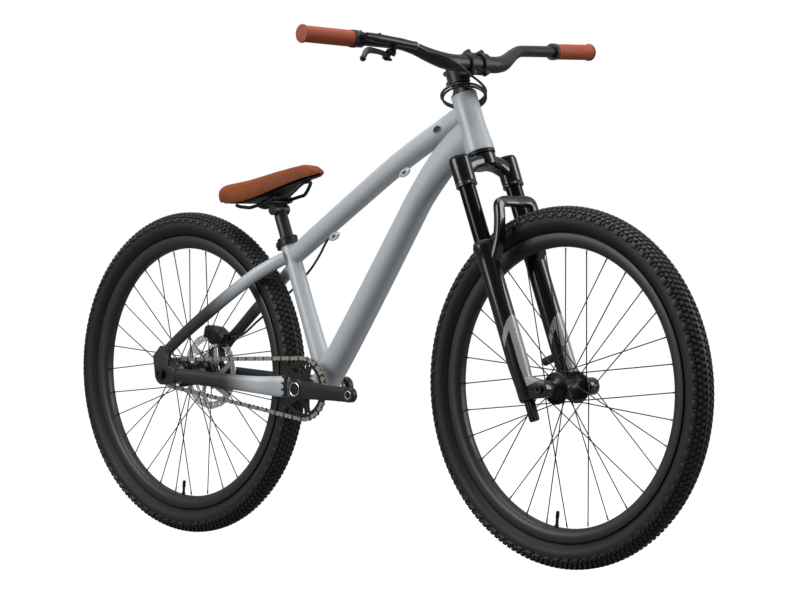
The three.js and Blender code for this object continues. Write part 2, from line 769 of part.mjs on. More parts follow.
// Brake rotor: a braking track on six arms, bolted to the left end of the rear hub
const rotor = { radius: 80, trackRadius: 66, boreRadius: 18, seatRadius: 27, thickness: 1.9, arms: 6, armShare: 0.34 };
const rotorPlane = rearHub.end.left + gap + rotor.thickness / 2;

function rotorSolid() {
  const { radius, trackRadius, boreRadius, seatRadius, thickness, arms, armShare } = rotor;
  const circle = (r, sides) => arc(0, 0, r, 0, 2 * Math.PI, sides).slice(0, -1);
  const windows = [];
  for (let k = 0; k < arms; k += 1) {
    const start = (2 * Math.PI * k) / arms;
    const open = ((2 * Math.PI) / arms) * (1 - armShare);
    const swirl = degToRad(20);
    const outer = arc(0, 0, trackRadius, start + swirl, start + swirl + open, 4);
    const inner = arc(0, 0, seatRadius, start + open * 0.85, start + open * 0.15, 2);
    windows.push([...outer, ...inner]);
  }
  return sidePlate(circle(radius, 40), thickness, rotorPlane, [circle(boreRadius, smallSides), ...windows]);
}

piece(rearWheel, 'brake_rotor', steel, rotorSolid());

// Caliper: a slotted body over the rotor's upper edge with two pads that close on it
const caliper = {
  angle: degToRad(70), reach: 76, length: 58, height: 34, innerHalf: 17, outerHalf: 11.5, slot: 11.6, spineHeight: 13,
  bossRadius: 8,
};
const pad = { length: 24, height: 15, thickness: 3.8, clearance: 0.6, shift: 2 };
const caliperPlace = new THREE.Matrix4()
  .makeRotationY(Math.PI / 2 - caliper.angle)
  .setPosition(
    rearAxle.x + caliper.reach * Math.cos(caliper.angle),
    rotorPlane,
    rearAxle.z + caliper.reach * Math.sin(caliper.angle),
  );

function caliperSolid() {
  const { length, height, innerHalf, outerHalf, slot, spineHeight, bossRadius } = caliper;
  const middle = (outerHalf - innerHalf) / 2;
  const width = innerHalf + outerHalf;
  const body = tube({
    path: [V(-length / 2, middle, height * 0.1), V(0, middle, height * 0.2), V(length / 2, middle, height * 0.1)],
    high: [height * 0.7, height, height * 0.7],
    wide: [0.8 * width, 0.92 * width, 0.8 * width],
    steps: 2,
    boxy: 3.5,
  });
  const piston = rod(V(0, -innerHalf, 0), V(0, outerHalf, 0), height * 0.42, height * 0.42);
  const ear = (x) => rod(V(x, -bossRadius, -height / 4), V(x, -bossRadius, height / 2), bossRadius, bossRadius, 8);
  const mouth = block(
    V(-length, -slot / 2, -height),
    V(length, slot / 2, height * 0.7 - spineHeight),
  );
  return cut(join(body, piston, ear(-length * 0.44), ear(length * 0.44)), mouth).applyMatrix4(caliperPlace);
}

function padSolid(side) {
  const { length, height, thickness, clearance, shift } = pad;
  const face = side * (rotor.thickness / 2 + clearance);
  const back = face + side * thickness;
  return block(
    V(-length / 2, Math.min(face, back), -height / 2 - shift),
    V(length / 2, Math.max(face, back), height / 2 - shift),
  ).applyMatrix4(caliperPlace);
}

piece(bike, 'brake_caliper', satinBlack, caliperSolid());
piece(bike, 'outer_brake_pad', steel, padSolid(1));
piece(bike, 'inner_brake_pad', steel, padSolid(-1));

// Crankset and chain

const crank = {
  length: 165, drop: degToRad(1.9), rootHigh: 40, tipHigh: 29, rootFace: 73, tipFace: 90, thickness: 14,
  spindleRadius: 12, spindleBore: 8.5, pedalHole: 7, bossRadius: 14.5, spindleInset: 1,
};
const ring = { thickness: 2.2, plane: 50, rimDepth: 14, arms: 5, hubRadius: 24 };
const toothShares = [[0.27, -0.34], [0.41, 0.28], [0.59, 0.28], [0.73, -0.34]];
const cog = { thickness: 2.2, driverRadius: 17.5, driverEnd: 66 };

// A toothed outline: each tooth stands midway between two chain pins
function toothedOutline(teeth, pitchRadius) {
  const outline = [];
  const step = (2 * Math.PI) / teeth;
  for (let k = 0; k < teeth; k += 1) {
    for (const [share, rise] of toothShares) {
      const turn = (k + share) * step;
      const radius = pitchRadius + rise * chainPitch;
      outline.push([radius * Math.cos(turn), radius * Math.sin(turn)]);
    }
  }
  return outline;
}

function chainringSolid() {
  const { thickness, plane, rimDepth, arms, hubRadius } = ring;
  const innerRadius = ringPitchRadius - rimDepth;
  const windows = [];
  for (let k = 0; k < arms; k += 1) {
    const start = (2 * Math.PI * (k + 0.2)) / arms;
    const end = (2 * Math.PI * (k + 0.8)) / arms;
    windows.push([...arc(0, 0, innerRadius, start, end, 3), ...arc(0, 0, hubRadius, end - 0.1, start + 0.1, 2)]);
  }
  const bore = arc(0, 0, clear(crank.spindleRadius), 0, 2 * Math.PI, roundSides).slice(0, -1);
  return sidePlate(toothedOutline(ringTeeth, ringPitchRadius), thickness, -plane, [bore, ...windows])
    .rotateY(chainTilt);
}

// One crank arm, hollow-ended at the spindle, with a flat boss round its pedal thread
function crankArmSolid(side) {
  const { length, rootHigh, tipHigh, rootFace, tipFace, thickness, spindleRadius, pedalHole, bossRadius } = crank;
  const forward = -side;
  const middle = (face) => side * (face - thickness / 2);
  const rootMiddle = middle(rootFace);
  const tipMiddle = middle(tipFace);
  const arm = tube({
    path: [
      V(0, rootMiddle, 0),
      V(forward * length * 0.35, lerp(rootMiddle, tipMiddle, 0.4), 0),
      V(forward * length * 0.7, lerp(rootMiddle, tipMiddle, 0.88), 0),
      V(forward * length, tipMiddle, 0),
    ],
    high: [rootHigh, rootHigh * 0.84, tipHigh, tipHigh],
    wide: [thickness, thickness, thickness, thickness],
    steps: 4,
    boxy: 4,
  });
  const rootEye = rod(
    V(0, side * (rootFace - thickness), 0),
    V(0, side * rootFace, 0),
    rootHigh / 2,
    rootHigh / 2,
    fineSides,
  );
  const tipEye = rod(
    V(forward * length, side * (tipFace - thickness), 0),
    V(forward * length, side * tipFace, 0),
    bossRadius,
    bossRadius,
    fineSides,
  );
  const spindleHole = rod(V(0, side * (rootFace - 2 * thickness), 0), V(0, side * (rootFace + overrun), 0),
    clear(spindleRadius, fineSides), clear(spindleRadius, fineSides), fineSides);
  const pedalThread = rod(
    V(forward * length, side * (tipFace - 2 * thickness), 0),
    V(forward * length, side * (tipFace + overrun), 0),
    pedalHole,
    pedalHole,
  );
  return cut(join(arm, rootEye, tipEye), spindleHole, pedalThread);
}

// Hollow spindle through both bearing cups, its ends just inside the faces of the arms
function spindleSolid() {
  const { rootFace, spindleRadius, spindleBore, spindleInset } = crank;
  const end = rootFace - spindleInset;
  return turned(ringProfile(spindleBore, spindleRadius, -end, end));
}

const cranks = new THREE.Group();
cranks.position.copy(bottomBracket);
cranks.rotation.y = crank.drop;
bike.add(cranks);
piece(cranks, 'right_crank_arm', satinBlack, crankArmSolid(-1));
piece(cranks, 'left_crank_arm', satinBlack, crankArmSolid(1));
piece(cranks, 'crank_spindle', steel, spindleSolid());
piece(cranks, 'chainring', satinBlack, chainringSolid().rotateY(-crank.drop));

// Rear cog on the driver body that turns on the axle beside the hub shell
function cogSolid() {
  const { thickness, driverRadius, driverEnd } = cog;
  const start = rearHub.end.right + gap;
  const driver = rod(V(0, -driverEnd, 0), V(0, -start, 0), driverRadius, driverRadius, fineSides);
  const bore = rod(V(0, -driverEnd - overrun, 0), V(0, 0, 0), clear(rearThruRadius));
  const teeth = sidePlate(toothedOutline(cogTeeth, cogPitchRadius), thickness, -ring.plane);
  return cut(join(driver, teeth.rotateY(Math.PI + chainTilt)), bore);
}

const cogGroup = new THREE.Group();
cogGroup.position.copy(rearAxle);
bike.add(cogGroup);
piece(cogGroup, 'rear_cog', steel, cogSolid());

// Chain: pins one pitch apart round ring and cog, rollers between two rows of side plates
const chain = { rollerRadius: 4.3, plateGap: 3.2, plateWidth: 1.8, plateReach: 4.5 };

// The place and outward direction at a distance of so many pitches from the front of the ring
function chainPlace(pitches) {
  const lean = wrapAngle(chainCentres);
  const ringLinks = (ringTeeth * (Math.PI / 2 + lean)) / (2 * Math.PI);
  const span = (chainCentres * Math.cos(lean)) / chainPitch;
  const mirrorBack = pitches > chainLinks / 2;
  const travel = mirrorBack ? chainLinks - pitches : pitches;
  const flip = mirrorBack ? -1 : 1;
  let turn = Math.PI / 2 + lean;
  let x = 0;
  let z = 0;
  if (travel <= ringLinks) {
    turn = (2 * Math.PI * travel) / ringTeeth;
    x = ringPitchRadius * Math.cos(turn);
    z = ringPitchRadius * Math.sin(turn);
  } else if (travel <= ringLinks + span) {
    const run = (travel - ringLinks) * chainPitch;
    x = ringPitchRadius * Math.cos(turn) - run * Math.sin(turn);
    z = ringPitchRadius * Math.sin(turn) + run * Math.cos(turn);
  } else {
    turn = Math.PI - (2 * Math.PI * (chainLinks / 2 - travel)) / cogTeeth;
    x = cogPitchRadius * Math.cos(turn) - chainCentres;
    z = cogPitchRadius * Math.sin(turn);
  }
  return { point: [x, flip * z], outward: [Math.cos(turn), flip * Math.sin(turn)] };
}

function chainSolid() {
  const { rollerRadius, plateGap, plateWidth, plateReach } = chain;
  const edge = (side) => Array.from({ length: chainLinks }, (_, k) => {
    const { point, outward } = chainPlace(k);
    return [point[0] + side * plateReach * outward[0], point[1] + side * plateReach * outward[1]];
  });
  const rowMiddle = (side) => (side * (plateGap + plateWidth)) / 2 - ring.plane;
  const row = (side) => sidePlate(edge(1), plateWidth, rowMiddle(side), [edge(-1)]);
  const rollers = Array.from({ length: chainLinks }, (_, k) => {
    const { point, outward } = chainPlace(k);
    const half = (plateGap + plateWidth) / 2;
    const turn = Math.atan2(outward[1], outward[0]);
    return rod(V(0, -half, 0), V(0, half, 0), rollerRadius, rollerRadius, 4)
      .rotateY(-turn)
      .translate(point[0], -ring.plane, point[1]);
  });
  return join(row(1), row(-1), ...rollers).rotateY(chainTilt);
}

const chainGroup = new THREE.Group();
chainGroup.position.copy(bottomBracket);
bike.add(chainGroup);
piece(chainGroup, 'chain', chainSteel, chainSolid());

// Fork, in the steering frame: +Z up the steering axis, origin at the foot of the head tube
const steering = new THREE.Group();
steering.applyMatrix4(steerPlace);
bike.add(steering);

const fork = {
  legSpread: 65, stanchionRadius: 16, sleeveRadius: 20.5, sleeveTop: -15, sleeveBottom: -70, crownTop: -lowerCupHeight,
  capHeight: 4, sealTop: -180.5, sealHeight: 7, insertion: 165, stanchionWall: 2.2,
};
const legTop = fork.sealTop - fork.sealHeight;
const axleDrop = -axleToCrown - lowerCupHeight;
const crown = {
  bossRadius: 26, bossDepth: 24, armHigh: 28, armEndHigh: 44, armWide: 42, armEndWide: 30, steererTop: 178,
  steererFootRadius: 19.5, taperTop: 50, boreRadius: 10.5, armDroop: 3,
};

function crownSolid() {
  const { bossRadius, bossDepth, armHigh, armEndHigh, armWide, armEndWide, armDroop } = crown;
  const { legSpread, crownTop, sleeveTop, sleeveBottom, sleeveRadius, stanchionRadius } = fork;
  const armMiddle = crownTop - armHigh / 2;
  const sleeveMiddle = lerp(sleeveTop, sleeveBottom, 0.42);
  const arms = tube({
    path: [
      V(0, -legSpread, sleeveMiddle),
      V(0, -legSpread / 2, armMiddle - armDroop),
      V(0, 0, armMiddle),
      V(0, legSpread / 2, armMiddle - armDroop),
      V(0, legSpread, sleeveMiddle),
    ],
    high: [armEndHigh, armHigh, bossDepth, armHigh, armEndHigh],
    wide: [armEndWide, armWide * 0.9, armWide, armWide * 0.9, armEndWide],
    steps: 8,
    sides: smallSides,
    boxy: 2.6,
  });
  const boss = rod(V(0, 0, crownTop), V(0, 0, crownTop - bossDepth), bossRadius, bossRadius, fineSides);
  const steerer = turnedUp([
    [0, crownTop - bossDepth / 2],
    [crown.steererFootRadius, crownTop - bossDepth / 2],
    [crown.steererFootRadius, 0],
    [headset.steererRadius, crown.taperTop],
    [headset.steererRadius, crown.steererTop],
    [0, crown.steererTop],
  ]);
  const sleeve = (side) => rod(V(0, side * legSpread, sleeveBottom), V(0, side * legSpread, sleeveTop), sleeveRadius,
    sleeveRadius, fineSides);
  const hole = (side) => rod(
    V(0, side * legSpread, sleeveBottom - overrun),
    V(0, side * legSpread, sleeveTop + overrun),
    clear(stanchionRadius, fineSides),
    clear(stanchionRadius, fineSides),
    fineSides,
  );
  const capRoom = (side) => rod(
    V(0, side * legSpread, sleeveTop),
    V(0, side * legSpread, sleeveTop + armHigh),
    sleeveRadius + gap,
    sleeveRadius + gap,
    fineSides,
  );
  const bore = rod(V(0, 0, crownTop - 2 * bossDepth), V(0, 0, crown.steererTop + overrun), crown.boreRadius);
  const aboveBoss = block(V(-armWide, -legSpread / 2, crownTop), V(armWide, legSpread / 2, armHigh));
  return cut(
    join(cut(arms, aboveBoss, capRoom(1), capRoom(-1)), boss, steerer, sleeve(1), sleeve(-1)),
    hole(1),
    hole(-1),
    bore,
  );
}

// One stanchion with its threaded top cap standing on the sleeve
function stanchionSolid(side) {
  const { legSpread, stanchionRadius, sleeveRadius, sleeveTop, capHeight, insertion, stanchionWall } = fork;
  const end = fork.sealTop - insertion;
  const bar = rod(V(0, 0, end), V(0, 0, sleeveTop + gap), stanchionRadius, stanchionRadius, fineSides);
  const cap = rod(V(0, 0, sleeveTop + gap), V(0, 0, sleeveTop + gap + capHeight), 0.95 * sleeveRadius, 0.9 * sleeveRadius,
    fineSides);
  const bore = rod(V(0, 0, end - overrun), V(0, 0, sleeveTop - capHeight), stanchionRadius - stanchionWall);
  return cut(join(bar, cap), bore).translate(0, side * legSpread, 0);
}

piece(steering, 'fork_crown_and_steerer', glossBlack, crownSolid());
piece(steering, 'left_stanchion', chrome, stanchionSolid(1));
piece(steering, 'right_stanchion', chrome, stanchionSolid(-1));

// Lower legs: two hollow cast legs, an arch in front over the tyre, and lugs that carry the axle ahead of them
const lowers = {
  topRadius: 22, neckRadius: 19.8, midRadius: 20, footRadius: 17.5, neckDrop: 26, footRise: 20, footDepth: 9,
  boreEndRise: 22, archForward: 46, archHigh: 19, archWide: 17, archTop: -118, archSpan: 48, lugInner: 50.4, lugOuter: 76,
  lugHigh: 34,
};
const tab = { rises: [78], reach: 46, radius: 8, side: 62 };

function legSolid(side) {
  const { topRadius, neckRadius, midRadius, footRadius, neckDrop, footRise, footDepth } = lowers;
  return turnedUp([
    [0, axleDrop - footDepth],
    [0.83 * footRadius, axleDrop - footDepth],
    [footRadius, axleDrop],
    [footRadius, axleDrop + footRise],
    [midRadius, axleDrop + 3 * footRise],
    [neckRadius, legTop - neckDrop],
    [topRadius, legTop - neckDrop / 2],
    [topRadius, legTop],
    [0, legTop],
  ]).translate(0, side * fork.legSpread, 0);
}

function lowersSolid() {
  const { archForward, archHigh, archWide, archTop, archSpan, lugInner, lugOuter, lugHigh, boreEndRise } = lowers;
  const spread = fork.legSpread;
  const halfArch = [
    V(archForward * 0.24, spread * 0.94, legTop - 2 * archWide),
    V(archForward * 0.66, spread * 0.88, legTop - archWide / 6),
    V(archForward * 0.9, archSpan, lerp(legTop, archTop, 0.55)),
    V(archForward, archSpan * 0.9, archTop - archWide / 4),
    V(archForward, archSpan * 0.64, archTop),
    V(archForward, 0, archTop),
  ];
  const arch = tube({
    path: [...halfArch, ...mirrored(halfArch.slice(0, -1)).reverse()],
    high: [archWide, archWide, archWide],
    wide: [1.4 * archHigh, archHigh, archHigh, archHigh, archHigh, archHigh, 1.4 * archHigh],
    steps: 20,
    sides: smallSides,
    upwards: V(1, 0, 0),
    boxy: 3,
  });
  const lug = (side) => {
    const outline = [
      ...arc(forkOffset, axleDrop, lugHigh / 2, -Math.PI / 2, Math.PI / 2, 6),
      [lowers.footRadius / 2, axleDrop + lugHigh * 1.1],
      [-lowers.footRadius / 2, axleDrop + lugHigh / 2],
      [0, axleDrop - lowers.footDepth / 2],
    ];
    return sidePlate(outline, lugOuter - lugInner, (side * (lugInner + lugOuter)) / 2);
  };
  const tabs = tab.rises.map((rise) => rod(
    V(0, tab.side, axleDrop + rise),
    V(-tab.reach, tab.side, axleDrop + rise),
    tab.radius,
    tab.radius,
    smallSides,
  ));
  const bore = (side) => rod(
    V(0, side * spread, axleDrop + boreEndRise),
    V(0, side * spread, legTop + forkTravel),
    clear(fork.stanchionRadius, fineSides),
    clear(fork.stanchionRadius, fineSides),
    fineSides,
  );
  const sealRoom = (side) => rod(
    V(0, side * spread, legTop),
    V(0, side * spread, fork.sealTop + gap),
    lowers.topRadius,
    lowers.topRadius,
    fineSides,
  );
  const axleBore = rod(
    V(forkOffset, -lugOuter - overrun, axleDrop),
    V(forkOffset, lugOuter + overrun, axleDrop),
    clear(frontAxleRadius),
  );
  return cut(
    join(legSolid(1), legSolid(-1), cut(arch, sealRoom(1), sealRoom(-1)), lug(1), lug(-1), ...tabs),
    bore(1),
    bore(-1),
    axleBore,
  );
}

piece(steering, 'fork_lower_legs', glossBlack, lowersSolid());

// Wiper seals seated on the legs' mouths, sliding on the stanchions
for (const [name, side] of [['left', 1], ['right', -1]]) {
  const seal = ringProfile(
    clear(fork.stanchionRadius, fineSides),
    0.93 * lowers.topRadius,
    legTop + gap,
    fork.sealTop,
  );
  piece(steering, `${name}_wiper_seal`, blackPlastic, turnedUp(seal).translate(0, side * fork.legSpread, 0));
}

// Front axle: a through bolt with a round head on the drive side
const frontBolt = { headRadius: 9, headLength: 5, socketRadius: 3.2, socketDepth: 4 };

function frontBoltSolid() {
  const { headRadius, headLength, socketRadius, socketDepth } = frontBolt;
  const face = lowers.lugOuter + gap;
  const start = -face - headLength;
  const bar = rod(V(0, start, 0), V(0, lowers.lugOuter - gap, 0), frontAxleRadius);
  const head = rod(V(0, start, 0), V(0, -face, 0), headRadius);
  const socket = rod(V(0, start - overrun, 0), V(0, start + socketDepth, 0), socketRadius, socketRadius, 6);
  return cut(join(bar, head), socket).translate(forkOffset, 0, axleDrop);
}

piece(steering, 'front_axle', steel, frontBoltSolid());

// Rebound knob: a ribbed tube under the drive-side leg
const knob = { radius: 10, length: 38, ribs: 10, ribDepth: 0.9, stemRadius: 4 };

function knobSolid() {
  const outline = [];
  for (let k = 0; k < 2 * knob.ribs; k += 1) {
    const turn = (Math.PI * k) / knob.ribs;
    const radius = knob.radius - (k % 2 === 0 ? 0 : knob.ribDepth);
    outline.push(new THREE.Vector2(radius * Math.cos(turn), radius * Math.sin(turn)));
  }
  const top = axleDrop - lowers.footDepth - gap;
  return new THREE.ExtrudeGeometry(new THREE.Shape(outline), { depth: knob.length, bevelEnabled: false })
    .translate(0, -fork.legSpread, top - knob.length);
}

piece(steering, 'rebound_knob', satinBlack, knobSolid());

// Stem: a split clamp round the steerer, an arm, and a half round seat for the bar behind a windowed faceplate
const stem = {
  reach: 47.5, barHeight: 161.7, bottom: 141.5, top: 179.5, clampRadius: 20, armHigh: 30, armWide: 34, slot: 2,
  barClampRadius: 21, barClampHalf: 27, split: 1, windowHalf: 6.5, pinchReach: 5, pinchHalf: 8, pinchInset: 2,
};
const faceplate = { earHigh: 8, earReach: 9, windowDepth: 4 };
const bar = {
  clampRadius: 15.9, endRadius: 11.1, halfWidth: 397, clampHalf: 30, straightHalf: 42, outerStart: 190, sweepAtBend: 25,
  riseAtBend: 46, sweep: 37, rise: 58.7,
};
// Bends of the bar's rise as shares of its way to the straight ends: outwards, back and up, and how much it thins
const bendShares = [[0.12, 0.02, 0.01, 0], [0.28, 0.15, 0.12, 0.1], [0.47, 0.4, 0.4, 0.55], [0.65, 0.62, 0.7, 0.9],
  [0.84, 0.86, 0.93, 1]];
const grip = { radius: 15.4, length: 127, flangeRadius: 17.4, flange: 4, ringRadius: 16.6, ringLength: 10, endWall: 3.5 };
const gripStart = bar.halfWidth + grip.endWall - grip.length;

const barClampRod = (radius, half, sides) => rod(
  V(stem.reach, -half, stem.barHeight),
  V(stem.reach, half, stem.barHeight),
  radius,
  radius,
  sides,
);

function stemSolid() {
  const { reach, barHeight, bottom, top, clampRadius, armHigh, armWide, barClampRadius, barClampHalf, split } = stem;
  const { slot, pinchReach, pinchHalf, pinchInset } = stem;
  const clamp = rod(V(0, 0, bottom), V(0, 0, top), clampRadius, clampRadius, fineSides);
  const arm = tube({
    path: [V(0, 0, (bottom + top) / 2), V(reach - split, 0, barHeight)],
    high: [armHigh, armHigh],
    wide: [armWide, 1.35 * armWide],
    steps: 1,
    boxy: 4,
  });
  const pinch = block(
    V(-clampRadius - pinchReach, -pinchHalf, bottom + pinchInset),
    V(-clampRadius / 2, pinchHalf, top - pinchInset),
  );
  const seat = overlap(
    barClampRod(barClampRadius, barClampHalf, fineSides),
    block(V(0, -2 * barClampHalf, 0), V(reach - split, 2 * barClampHalf, 2 * barHeight)),
  );
  const steererBore = rod(V(0, 0, bottom - overrun), V(0, 0, top + overrun), clear(headset.steererRadius, fineSides),
    clear(headset.steererRadius, fineSides), fineSides);
  const pinchSlot = block(V(-2 * clampRadius, -slot / 2, bottom - overrun), V(-overrun, slot / 2, top + overrun));
  return cut(join(clamp, arm, pinch, seat), steererBore, pinchSlot,
    barClampRod(clear(bar.clampRadius, fineSides), 2 * barClampHalf, fineSides));
}

function faceplateSolid() {
  const { reach, barHeight, barClampRadius, barClampHalf, split, windowHalf } = stem;
  const half = overlap(
    barClampRod(barClampRadius, barClampHalf, fineSides),
    block(V(reach + split, -2 * barClampHalf, 0), V(2 * reach, 2 * barClampHalf, 2 * barHeight)),
  );
  const { earHigh, earReach, windowDepth } = faceplate;
  const ears = [-1, 1].map((side) => block(
    V(reach + split, -barClampHalf, barHeight + side * barClampRadius * 0.95 - earHigh / 2),
    V(reach + earReach, barClampHalf, barHeight + side * barClampRadius * 0.95 + earHigh / 2),
  ));
  const window = block(
    V(reach + windowDepth, -windowHalf, barHeight - barClampRadius * 0.62),
    V(2 * reach, windowHalf, barHeight + barClampRadius * 0.62),
  );
  return cut(join(half, ...ears), barClampRod(clear(bar.clampRadius, fineSides), 2 * barClampHalf, fineSides), window);
}

piece(steering, 'stem', satinBlack, stemSolid());
piece(steering, 'stem_faceplate', satinBlack, faceplateSolid());

// Headset spacer under the stem and the cap that preloads the bearings
piece(steering, 'headset_spacer', satinBlack, turnedUp(ringProfile(
  clear(headset.steererRadius, fineSides),
  headset.coneTopRadius,
  headTubeLength + headset.coneTop + gap,
  stem.bottom - gap,
)));
const topCap = { height: 4, boltRadius: 4.5, boltHeight: 6 };
piece(steering, 'headset_top_cap', satinBlack, turnedUp([
  [0, stem.top + gap],
  [headset.coneTopRadius, stem.top + gap],
  [0.94 * headset.coneTopRadius, stem.top + topCap.height],
  [topCap.boltRadius, stem.top + topCap.height],
  [topCap.boltRadius, stem.top + topCap.boltHeight],
  [0, stem.top + topCap.boltHeight],
]));

// Handlebar: straight in the clamp, a rise on each side, then straight swept-back ends
const barPoint = (side, y) => {
  const share = (y - bar.outerStart) / (bar.halfWidth - bar.outerStart);
  return V(
    stem.reach - lerp(bar.sweepAtBend, bar.sweep, share),
    side * y,
    stem.barHeight + lerp(bar.riseAtBend, bar.rise, share),
  );
};

function handlebarSolid() {
  const half = [
    V(stem.reach, 0, stem.barHeight),
    V(stem.reach, bar.clampHalf, stem.barHeight),
    V(stem.reach, bar.straightHalf, stem.barHeight),
    ...bendShares.map(([out, back, up]) => V(
      stem.reach - bar.sweepAtBend * back,
      lerp(bar.straightHalf, bar.outerStart, out),
      stem.barHeight + bar.riseAtBend * up,
    )),
    barPoint(1, bar.outerStart),
    barPoint(1, lerp(bar.outerStart, bar.halfWidth, 0.2)),
    barPoint(1, lerp(bar.outerStart, bar.halfWidth, 0.6)),
    barPoint(1, bar.halfWidth),
  ];
  const radii = [0, 0, 0, ...bendShares.map((shares) => shares[3]), 1, 1, 1, 1]
    .map((share) => lerp(bar.clampRadius, bar.endRadius, share));
  return tube({
    path: [...mirrored(half).reverse(), ...half.slice(1)],
    high: [...radii].reverse().concat(radii.slice(1)).map((radius) => 2 * radius),
    steps: 34,
    upwards: V(1, 0, 0),
  });
}

function gripSolid(side) {
  const { radius, length, flangeRadius, flange, ringRadius, ringLength, endWall } = grip;
  const at = (y) => barPoint(side, y);
  const end = gripStart + length;
  const sleeve = rod(at(gripStart + ringLength / 2), at(end - flange / 2), radius);
  const lip = rod(at(end - flange), at(end), flangeRadius, radius);
  const ringPart = rod(at(gripStart), at(gripStart + ringLength), ringRadius);
  const bore = rod(at(gripStart - overrun), at(end - endWall + gap), clear(bar.endRadius));
  return cut(join(sleeve, lip, ringPart), bore);
}

piece(steering, 'handlebar', satinBlack, handlebarSolid());
piece(steering, 'left_grip', brownRubber, gripSolid(1));
piece(steering, 'right_grip', brownRubber, gripSolid(-1));

// Brake lever: clamp and master cylinder along the bar, and a two-finger blade pivoting below them
const lever = {
  gripGap: 3, clampWidth: 13, clampWall: 4, cylinderLength: 118, cylinderRadius: 8.2, ahead: 25, below: 5,
  cylinderFall: 9, bootLength: 26, bootFall: 21, bootRadius: 4, pivotInset: 62, pivotAhead: 7.5, pivotBelow: 30,
  pivotRadius: 6.5, pivotHalf: 9.5, web: 6,
};
const blade = { length: 82, high: 9, wide: 13, ballRadius: 6 };
// The blade's line from its pivot as shares of its length: outwards, ahead and up
const bladeShares = [[0, 0, 0], [0.42, 0.09, 0.025], [0.8, 0.16, -0.012], [1, 0.16, -0.2]];
const leverClampAt = gripStart - lever.gripGap - lever.clampWidth / 2;
const cylinderStart = gripStart - lever.gripGap;
const cylinderEnd = cylinderStart - lever.cylinderLength;
const bootEnd = cylinderEnd - lever.bootLength;
const pivotAt = gripStart - lever.pivotInset;
const leverPivot = barPoint(-1, pivotAt).add(V(lever.pivotAhead, 0, -lever.pivotBelow));
const bladePoints = bladeShares.map(([out, ahead, up]) => leverPivot.clone()
  .add(V(ahead, -out, up).multiplyScalar(blade.length)));
const bladeTip = bladePoints[bladePoints.length - 1];
const gripByTip = barPoint(-1, -bladeTip.y);
const reachLine = V(bladeTip.x - gripByTip.x, 0, bladeTip.z - gripByTip.z).normalize();
const bladeAxis = V(-reachLine.z, 0, reachLine.x);

// The pivot's frame: +X away from the bar, +Y to the rider's left, +Z along the pivot pin
const pivotPlace = new THREE.Matrix4().makeBasis(reachLine, V(0, 1, 0), bladeAxis).setPosition(leverPivot);

function leverBodySolid() {
  const { clampWidth, clampWall, cylinderRadius, ahead, below, cylinderFall } = lever;
  const { bootFall, bootRadius, pivotRadius, pivotHalf, web } = lever;
  const clampAt = leverClampAt;
  const beside = (y, fall) => barPoint(-1, y).add(V(ahead, 0, -below - fall));
  const barAt = (y) => barPoint(-1, y);
  const clampRadius = bar.endRadius + clampWall;
  const clamp = rod(barAt(clampAt + clampWidth / 2), barAt(clampAt - clampWidth / 2), clampRadius);
  const bridge = rod(barAt(clampAt), beside(clampAt, 0), cylinderRadius * 0.8, cylinderRadius * 0.8, smallSides);
  const cylinder = rod(beside(cylinderStart, 0), beside(cylinderEnd, cylinderFall), cylinderRadius,
    cylinderRadius * 0.85, smallSides);
  const boot = rod(beside(cylinderEnd + bootRadius, cylinderFall), beside(bootEnd, bootFall), 1.25 * bootRadius,
    bootRadius, smallSides);
  const slotHalf = blade.high / 2 + 6 * gap;
  const clevis = cut(
    block(V(-pivotRadius, -pivotRadius, -pivotHalf), V(pivotRadius, pivotRadius + 2 * gap + web, pivotHalf)),
    block(V(-2 * pivotRadius, -2 * pivotRadius, -slotHalf), V(2 * pivotRadius, pivotRadius + 2 * gap, slotHalf)),
  ).applyMatrix4(pivotPlace);
  const neckFoot = V(0, pivotRadius + gap + web / 2, 0).applyMatrix4(pivotPlace);
  const neckAt = -neckFoot.y;
  const neckFall = lerp(0, cylinderFall, (cylinderStart - neckAt) / (cylinderStart - cylinderEnd));
  const neck = rod(neckFoot, beside(neckAt, neckFall), web / 2, web, smallSides);
  const barRoom = rod(barAt(cylinderEnd), barAt(cylinderStart + clampWidth), clear(bar.endRadius));
  return cut(join(clamp, bridge, cylinder, boot, clevis, neck), barRoom);
}

// The blade's line runs out from the pivot, drops to the finger hook and ends in a ball
function leverBladeSolid() {
  const { high, wide } = blade;
  const arm = tube({
    path: bladePoints,
    high: [1.2 * high, 1.1 * high, 1.2 * high, high],
    wide: [high, high, wide, high],
    steps: 8,
    sides: 8,
    upwards: reachLine,
    boxy: 2.5,
  });
  const eye = rod(
    leverPivot.clone().addScaledVector(bladeAxis, -blade.high / 2),
    leverPivot.clone().addScaledVector(bladeAxis, blade.high / 2),
    lever.pivotRadius,
    lever.pivotRadius,
    smallSides,
  );
  const ball = new THREE.SphereGeometry(blade.ballRadius, 8, 6).translate(bladeTip.x, bladeTip.y, bladeTip.z);
  return join(arm, eye, ball);
}

piece(steering, 'brake_lever_body', satinBlack, leverBodySolid());
piece(steering, 'brake_lever_blade', satinBlack, leverBladeSolid());

// Brake hose over the steering: a hand-chosen route in the steering frame, from the lever's boot to the loops
const barHoseRoute = [V(51.6, -125.6, 177.3), V(59, -108, 170), V(66, -82, 157), V(65, -60, 146), V(56, -28, 132), V(47, -2, 126),
  V(38, 19.5, 119), loopEnd(0, -hoseStub), loopEnd(0, -1.5 * gap)];
const loopSteps = 36;
const loopRoute = Array.from({ length: loopSteps + 1 }, (_, k) => loopPoint(k / loopSteps));
piece(steering, 'bar_hose', hoseBlack, hoseSolid(barHoseRoute, 14));
piece(headGroup, 'looped_hose', hoseBlack, hoseSolid(loopRoute, loopSteps));
piece(bike, 'frame_hose', hoseBlack, hoseSolid(frameHoseRoute, frameHoseSteps));

